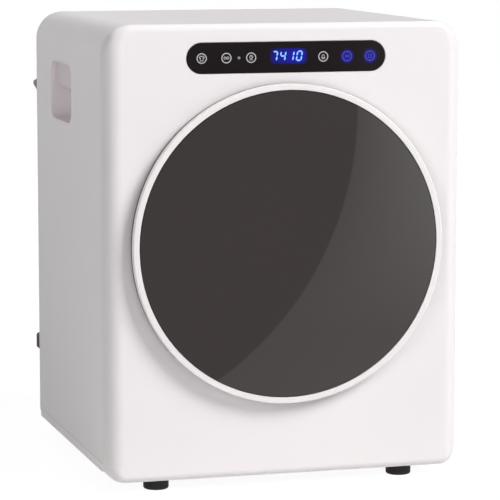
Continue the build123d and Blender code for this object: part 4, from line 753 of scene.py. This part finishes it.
def hood(shape, x, z):
    """One hood: flush with the sheet at its top and ends, open along its lower edge."""
    across_steps, down_steps = 28, 6
    rows = []
    for across in range(across_steps + 1):
        share = across / across_steps
        place_x = x + (share - 0.5) * hood_length
        bulge = (1 - abs(2 * share - 1) ** 5) ** 0.5 if 0 < share < 1 else 0.0
        row = []
        for down in range(down_steps + 1):
            turn = math.pi / 2 * down / down_steps
            out = hood_reach * bulge * math.sin(turn)
            fall = hood_fall * (1 - math.cos(turn))
            row.append(shape.verts.new((place_x, rear_back + out, z + hood_rise - fall)))
        rows.append(row)
    for first, second in zip(rows, rows[1:]):
        for down in range(down_steps):
            shape.faces.new((first[down], first[down + 1], second[down + 1], second[down]))


def vent_hoods():
    """The hoods pressed over both rows of vent slots in the rear panel."""
    shape = bmesh.new()
    for side in (-1, 1):
        for index in range(slot_count):
            rise = (index - (slot_count - 1) / 2) * slot_pitch
            hood(shape, side * slot_side, rear_top - slot_drop + rise)
    bmesh.ops.recalc_face_normals(shape, faces=shape.faces)
    mesh = bpy.data.meshes.new("vent_hoods")
    shape.to_mesh(mesh)
    shape.free()
    for polygon in mesh.polygons:
        polygon.use_smooth = True
    hoods = piece("vent_hoods", mesh, finishes["galvanised"], "cabinet")
    thicken = hoods.modifiers.new("sheet", "SOLIDIFY")
    thicken.thickness = hood_sheet
    thicken.offset = 0


vent_hoods()

# Signs and figures on the panel


def shirt_sign(shape):
    half = [(0.7, 2.5), (1.6, 3.2), (3.6, 1.6), (2.6, 0.2), (1.9, 0.8), (1.9, -3.2)]
    outline = half + [(-x, z) for x, z in reversed(half)]
    ribbon(shape, [(x * mm, z * mm) for x, z in outline], icon_line, closed=True)


def wave_sign(shape):
    for side in (-1, 1):
        ring(shape, 1.5 * mm, icon_line, (side * 1.9 * mm, 0), 24)
    ribbon(shape, [(-0.4 * mm, 0), (0.4 * mm, 0)], icon_line)


def clock_sign(shape):
    ring(shape, 2.1 * mm, icon_line, (0, 0.9 * mm), 28)
    ribbon(shape, [(0, 2.2 * mm), (0, 0.9 * mm), (0.9 * mm, 0.9 * mm)], icon_line * 0.8)
    ribbon(shape, [(-2.4 * mm, -2.8 * mm), (2.4 * mm, -2.8 * mm)], icon_line)


def bell_sign(shape):
    dome = arc((0, 0.6 * mm), 1.7 * mm, 0, 180, 16)
    ribbon(shape, [(2.1 * mm, -1.4 * mm), *dome, (-2.1 * mm, -1.4 * mm)], icon_line, closed=True)
    ribbon(shape, [(-2.4 * mm, -2.9 * mm), (2.4 * mm, -2.9 * mm)], icon_line)


def start_sign(shape):
    patch(shape, [(-2.2 * mm, -1.9 * mm), (0.9 * mm, 0), (-2.2 * mm, 1.9 * mm)])
    for bar in (1.6, 2.8):
        ribbon(shape, [(bar * mm, -1.8 * mm), (bar * mm, 1.8 * mm)], icon_line)


def power_sign(shape):
    ribbon(shape, arc((0, -0.2 * mm), 2.5 * mm, 125, 415, 24), icon_line)
    ribbon(shape, [(0, 0.4 * mm), (0, 3.2 * mm)], icon_line)


def lay_on_panel(shape, name, x, paint, lift=sign_lift, z=fascia_z):
    """Finish a flat shape and lay it on the panel's window."""
    mesh = bpy.data.meshes.new(name)
    bmesh.ops.recalc_face_normals(shape, faces=shape.faces)
    shape.to_mesh(mesh)
    shape.free()
    mesh.transform(Matrix.Translation((x, fascia_front - lift, z)))
    for polygon in mesh.polygons:
        polygon.use_smooth = False
    piece(name, mesh, paint, "cabinet")


# The printed signs glow as well: that glow is painted light
printed_painted_glow = lit("sign_print_painted_glow", tone(192, 190, 192), 0.75)
lit_blue = lit("sign_lit_blue", tone(50, 56, 206), 0.5)
for name, draw, paint in (
    ("shirt", shirt_sign, printed_painted_glow),
    ("wave", wave_sign, printed_painted_glow),
    ("clock", clock_sign, printed_painted_glow),
    ("bell", bell_sign, printed_painted_glow),
    ("start", start_sign, lit_blue),
    ("power", power_sign, lit_blue),
):
    shape = bmesh.new()
    ring(shape, sign_radius, sign_line)
    draw(shape)
    lay_on_panel(shape, f"sign_{name}", sign_places[name], paint, 2 * sign_lift)

shape = bmesh.new()
patch(shape, arc((0, 0), eye_radius, 0, 342, 19))
# The remote eye's print glows too: painted light
lay_on_panel(shape, "remote_eye", sign_places["eye"], lit("eye_print_painted_glow", tone(150, 148, 150), 0.4))


def figure_bars():
    """Centre line of each of the seven bars, as a letter and its two ends."""
    half, side = digit_height / 2 - bar_width / 2, digit_width / 2 - bar_width / 2
    return {
        "a": ((-side, half), (side, half)),
        "b": ((side, half), (side, 0)),
        "c": ((side, 0), (side, -half)),
        "d": ((-side, -half), (side, -half)),
        "e": ((-side, 0), (-side, -half)),
        "f": ((-side, half), (-side, 0)),
        "g": ((-side, 0), (side, 0)),
    }


def bar(shape, start, end, centre):
    """One lit bar with pointed ends, leaning with the figure."""
    line = Vector(end) - Vector(start)
    along = line.normalized()
    across = Vector((-along.y, along.x)) * bar_width / 2
    first = Vector(start) + along * bar_gap
    last = Vector(end) - along * bar_gap
    bevel = along * bar_width / 2
    outline = [first, first + bevel + across, last - bevel + across]
    outline += [last, last - bevel - across, first + bevel - across]
    patch(shape, [(point.x + slant * point.y + centre, point.y) for point in outline])


shape = bmesh.new()
for letters, centre in figures:
    for letter in letters:
        bar(shape, *figure_bars()[letter], centre)
figure_light = lit("figure_light", tone(126, 182, 255), 1.15)
lay_on_panel(shape, "number_figures", 0, figure_light, 2 * sign_lift, figures_z)

# Glow round the figures and the lit signs, which fades into the window's black
window_black = tone(27, 21, 24)
no_light = (0.0, 0.0, 0.0)


def blue_glow():
    """Light that spreads round the figures and dies away towards the window's black."""
    paint = window_paint("blue_glow", Emission_Strength=1.0)
    x, _, z = paint.xyz()
    across = ((x - glow_middle).abs() / glow_fade_width) ** 6.0
    down = ((z - figures_z).abs() / glow_fade_height) ** 4.0
    share = (1.0 - across - down).clamp()
    grain = paint.noise(400.0, 3.0) * 0.25 + 0.8
    toward_right = (x * 12.0 + 0.75).clamp()
    glow = paint.mix(share * grain * toward_right, no_light, tone(6, 20, 184))
    return paint.set(Base_Color=window_black, Emission_Color=glow)


def sign_glow():
    """Fainter light round the two lit signs, in the same blue."""
    paint = window_paint("sign_glow", Emission_Strength=1.0)
    x, _, z = paint.xyz()
    first, second = sign_places["start"], sign_places["power"]
    across = (x - (first + second) / 2).abs() - (second - first) / 2
    up = z - fascia_z
    radius = (across * across + up * up) ** 0.5
    share = (1.0 - radius / glow_radius).clamp()
    grain = paint.noise(400.0, 3.0) * 0.25 + 0.8
    glow = paint.mix((share * 3.0).clamp() * grain, no_light, tone(16, 16, 132))
    return paint.set(Base_Color=window_black, Emission_Color=glow)


shape = bmesh.new()
glow_sides = (glow_middle - glow_half_width, glow_middle + glow_half_width)
patch(shape, [(x, -glow_half_height) for x in glow_sides] + [(x, glow_half_height) for x in glow_sides[::-1]])
lay_on_panel(shape, "display_glow", 0, blue_glow(), sign_lift, figures_z)
glow_paint = sign_glow()
for number, name in ((1, "start"), (2, "power")):
    shape = bmesh.new()
    patch(shape, arc((0, 0), glow_radius, 0, 350, 35))
    lay_on_panel(shape, f"sign_glow_{number}", sign_places[name], glow_paint)

# Studio: surroundings, floor, lamps and camera
world = bpy.data.worlds.new("studio")
world.use_nodes = True
bpy.context.scene.world = world
studio = Graph(world.node_tree)
studio_ray = studio.node("ShaderNodeLightPath")
ray_kinds = {output.name: Socket(studio, output) for output in studio_ray.link.node.outputs}
direction = studio.node("ShaderNodeTexCoord", output="Generated")


def facing(axis):
    """How nearly a direction points along an axis, from -1 to 1."""
    return studio.node("ShaderNodeVectorMath", {"operation": "DOT_PRODUCT"}, {0: direction, 1: axis}, "Value")


def card(axis, change):
    """Light that a soft-edged card, which hangs that way, adds to what shines or takes from it."""
    return ((facing(axis) - card_edge) / card_softness).clamp() * change


shine_angle = facing(glass_shine_axis).degrees()
over_edge = (shine_angle - glass_shine_angle).at_most(glass_shine_growth)
upward = facing((0, 0, 1))
steepness = (upward * 8 + 1.29).clamp() * 0.9 + 0.05
shine = (over_edge / glass_shine_softness).clamp() * (over_edge * steepness + glass_shine_base)
shine = shine * (1 - ((shine_angle - glass_shine_end) / glass_shine_fade).clamp())
extra = shine * glass_shine_extra + ((upward - overhead_start) / overhead_softness).clamp() * overhead_extra
for axis, change in cards:
    extra = extra + card(axis, change)
mirrored = (ray_kinds["Is Glossy Ray"] + ray_kinds["Is Transmission Ray"]).clamp()
shown = (ray_kinds["Is Camera Ray"] + mirrored).clamp()
level = (1 - shown) * ambient + shown * reflected_white + mirrored * extra
tint = studio.node("ShaderNodeMix", {"data_type": "RGBA"}, {0: shown, 6: ambient_tint, 7: white}, 2)
studio.feed(world.node_tree.nodes["Background"], {"Color": tint, "Strength": level})

floor_mesh = bpy.data.meshes.new("floor")
floor_shape = bmesh.new()
bmesh.ops.create_grid(floor_shape, x_segments=1, y_segments=1, size=floor_reach)
floor_shape.to_mesh(floor_mesh)
floor_shape.free()
floor = bpy.data.objects.new("floor", floor_mesh)
bpy.context.scene.collection.objects.link(floor)
floor.visible_glossy = False
floor_paint = Paint("floor_paper", Roughness=0.9, Base_Color=(floor_grey,) * 3)
glow = floor_paint.node("ShaderNodeEmission", None, {"Color": white, "Strength": floor_glow})
camera_ray = floor_paint.node("ShaderNodeLightPath", output="Is Camera Ray")
blended = floor_paint.node(
    "ShaderNodeMixShader",
    None,
    {0: camera_ray * floor_glow_share, 1: Socket(floor_paint, floor_paint.shader.outputs[0]), 2: glow},
)
floor_paint.feed(floor_paint.tree.nodes["Material Output"], {"Surface": blended})
floor_mesh.materials.append(floor_paint.material)

for name, place, size, power in lamps:
    light = bpy.data.objects.new(name, bpy.data.lights.new(name, "AREA"))
    bpy.context.scene.collection.objects.link(light)
    light.data.shape = "SQUARE"
    light.data.size = size
    light.data.energy = power
    light.location = place
    light.rotation_euler = (Vector(lamp_target) - Vector(place)).to_track_quat("-Z", "Y").to_euler()

camera = bpy.data.objects.new("camera", bpy.data.cameras.new("camera"))
bpy.context.scene.collection.objects.link(camera)
camera.location = camera_place
camera.rotation_euler = (math.pi / 2 - camera_tilt, 0, -camera_turn)
camera.data.lens = camera_lens
camera.data.sensor_width = 36.0
camera.data.clip_end = 50.0
bpy.context.scene.camera = camera
bpy.context.scene.view_settings.view_transform = "Standard"
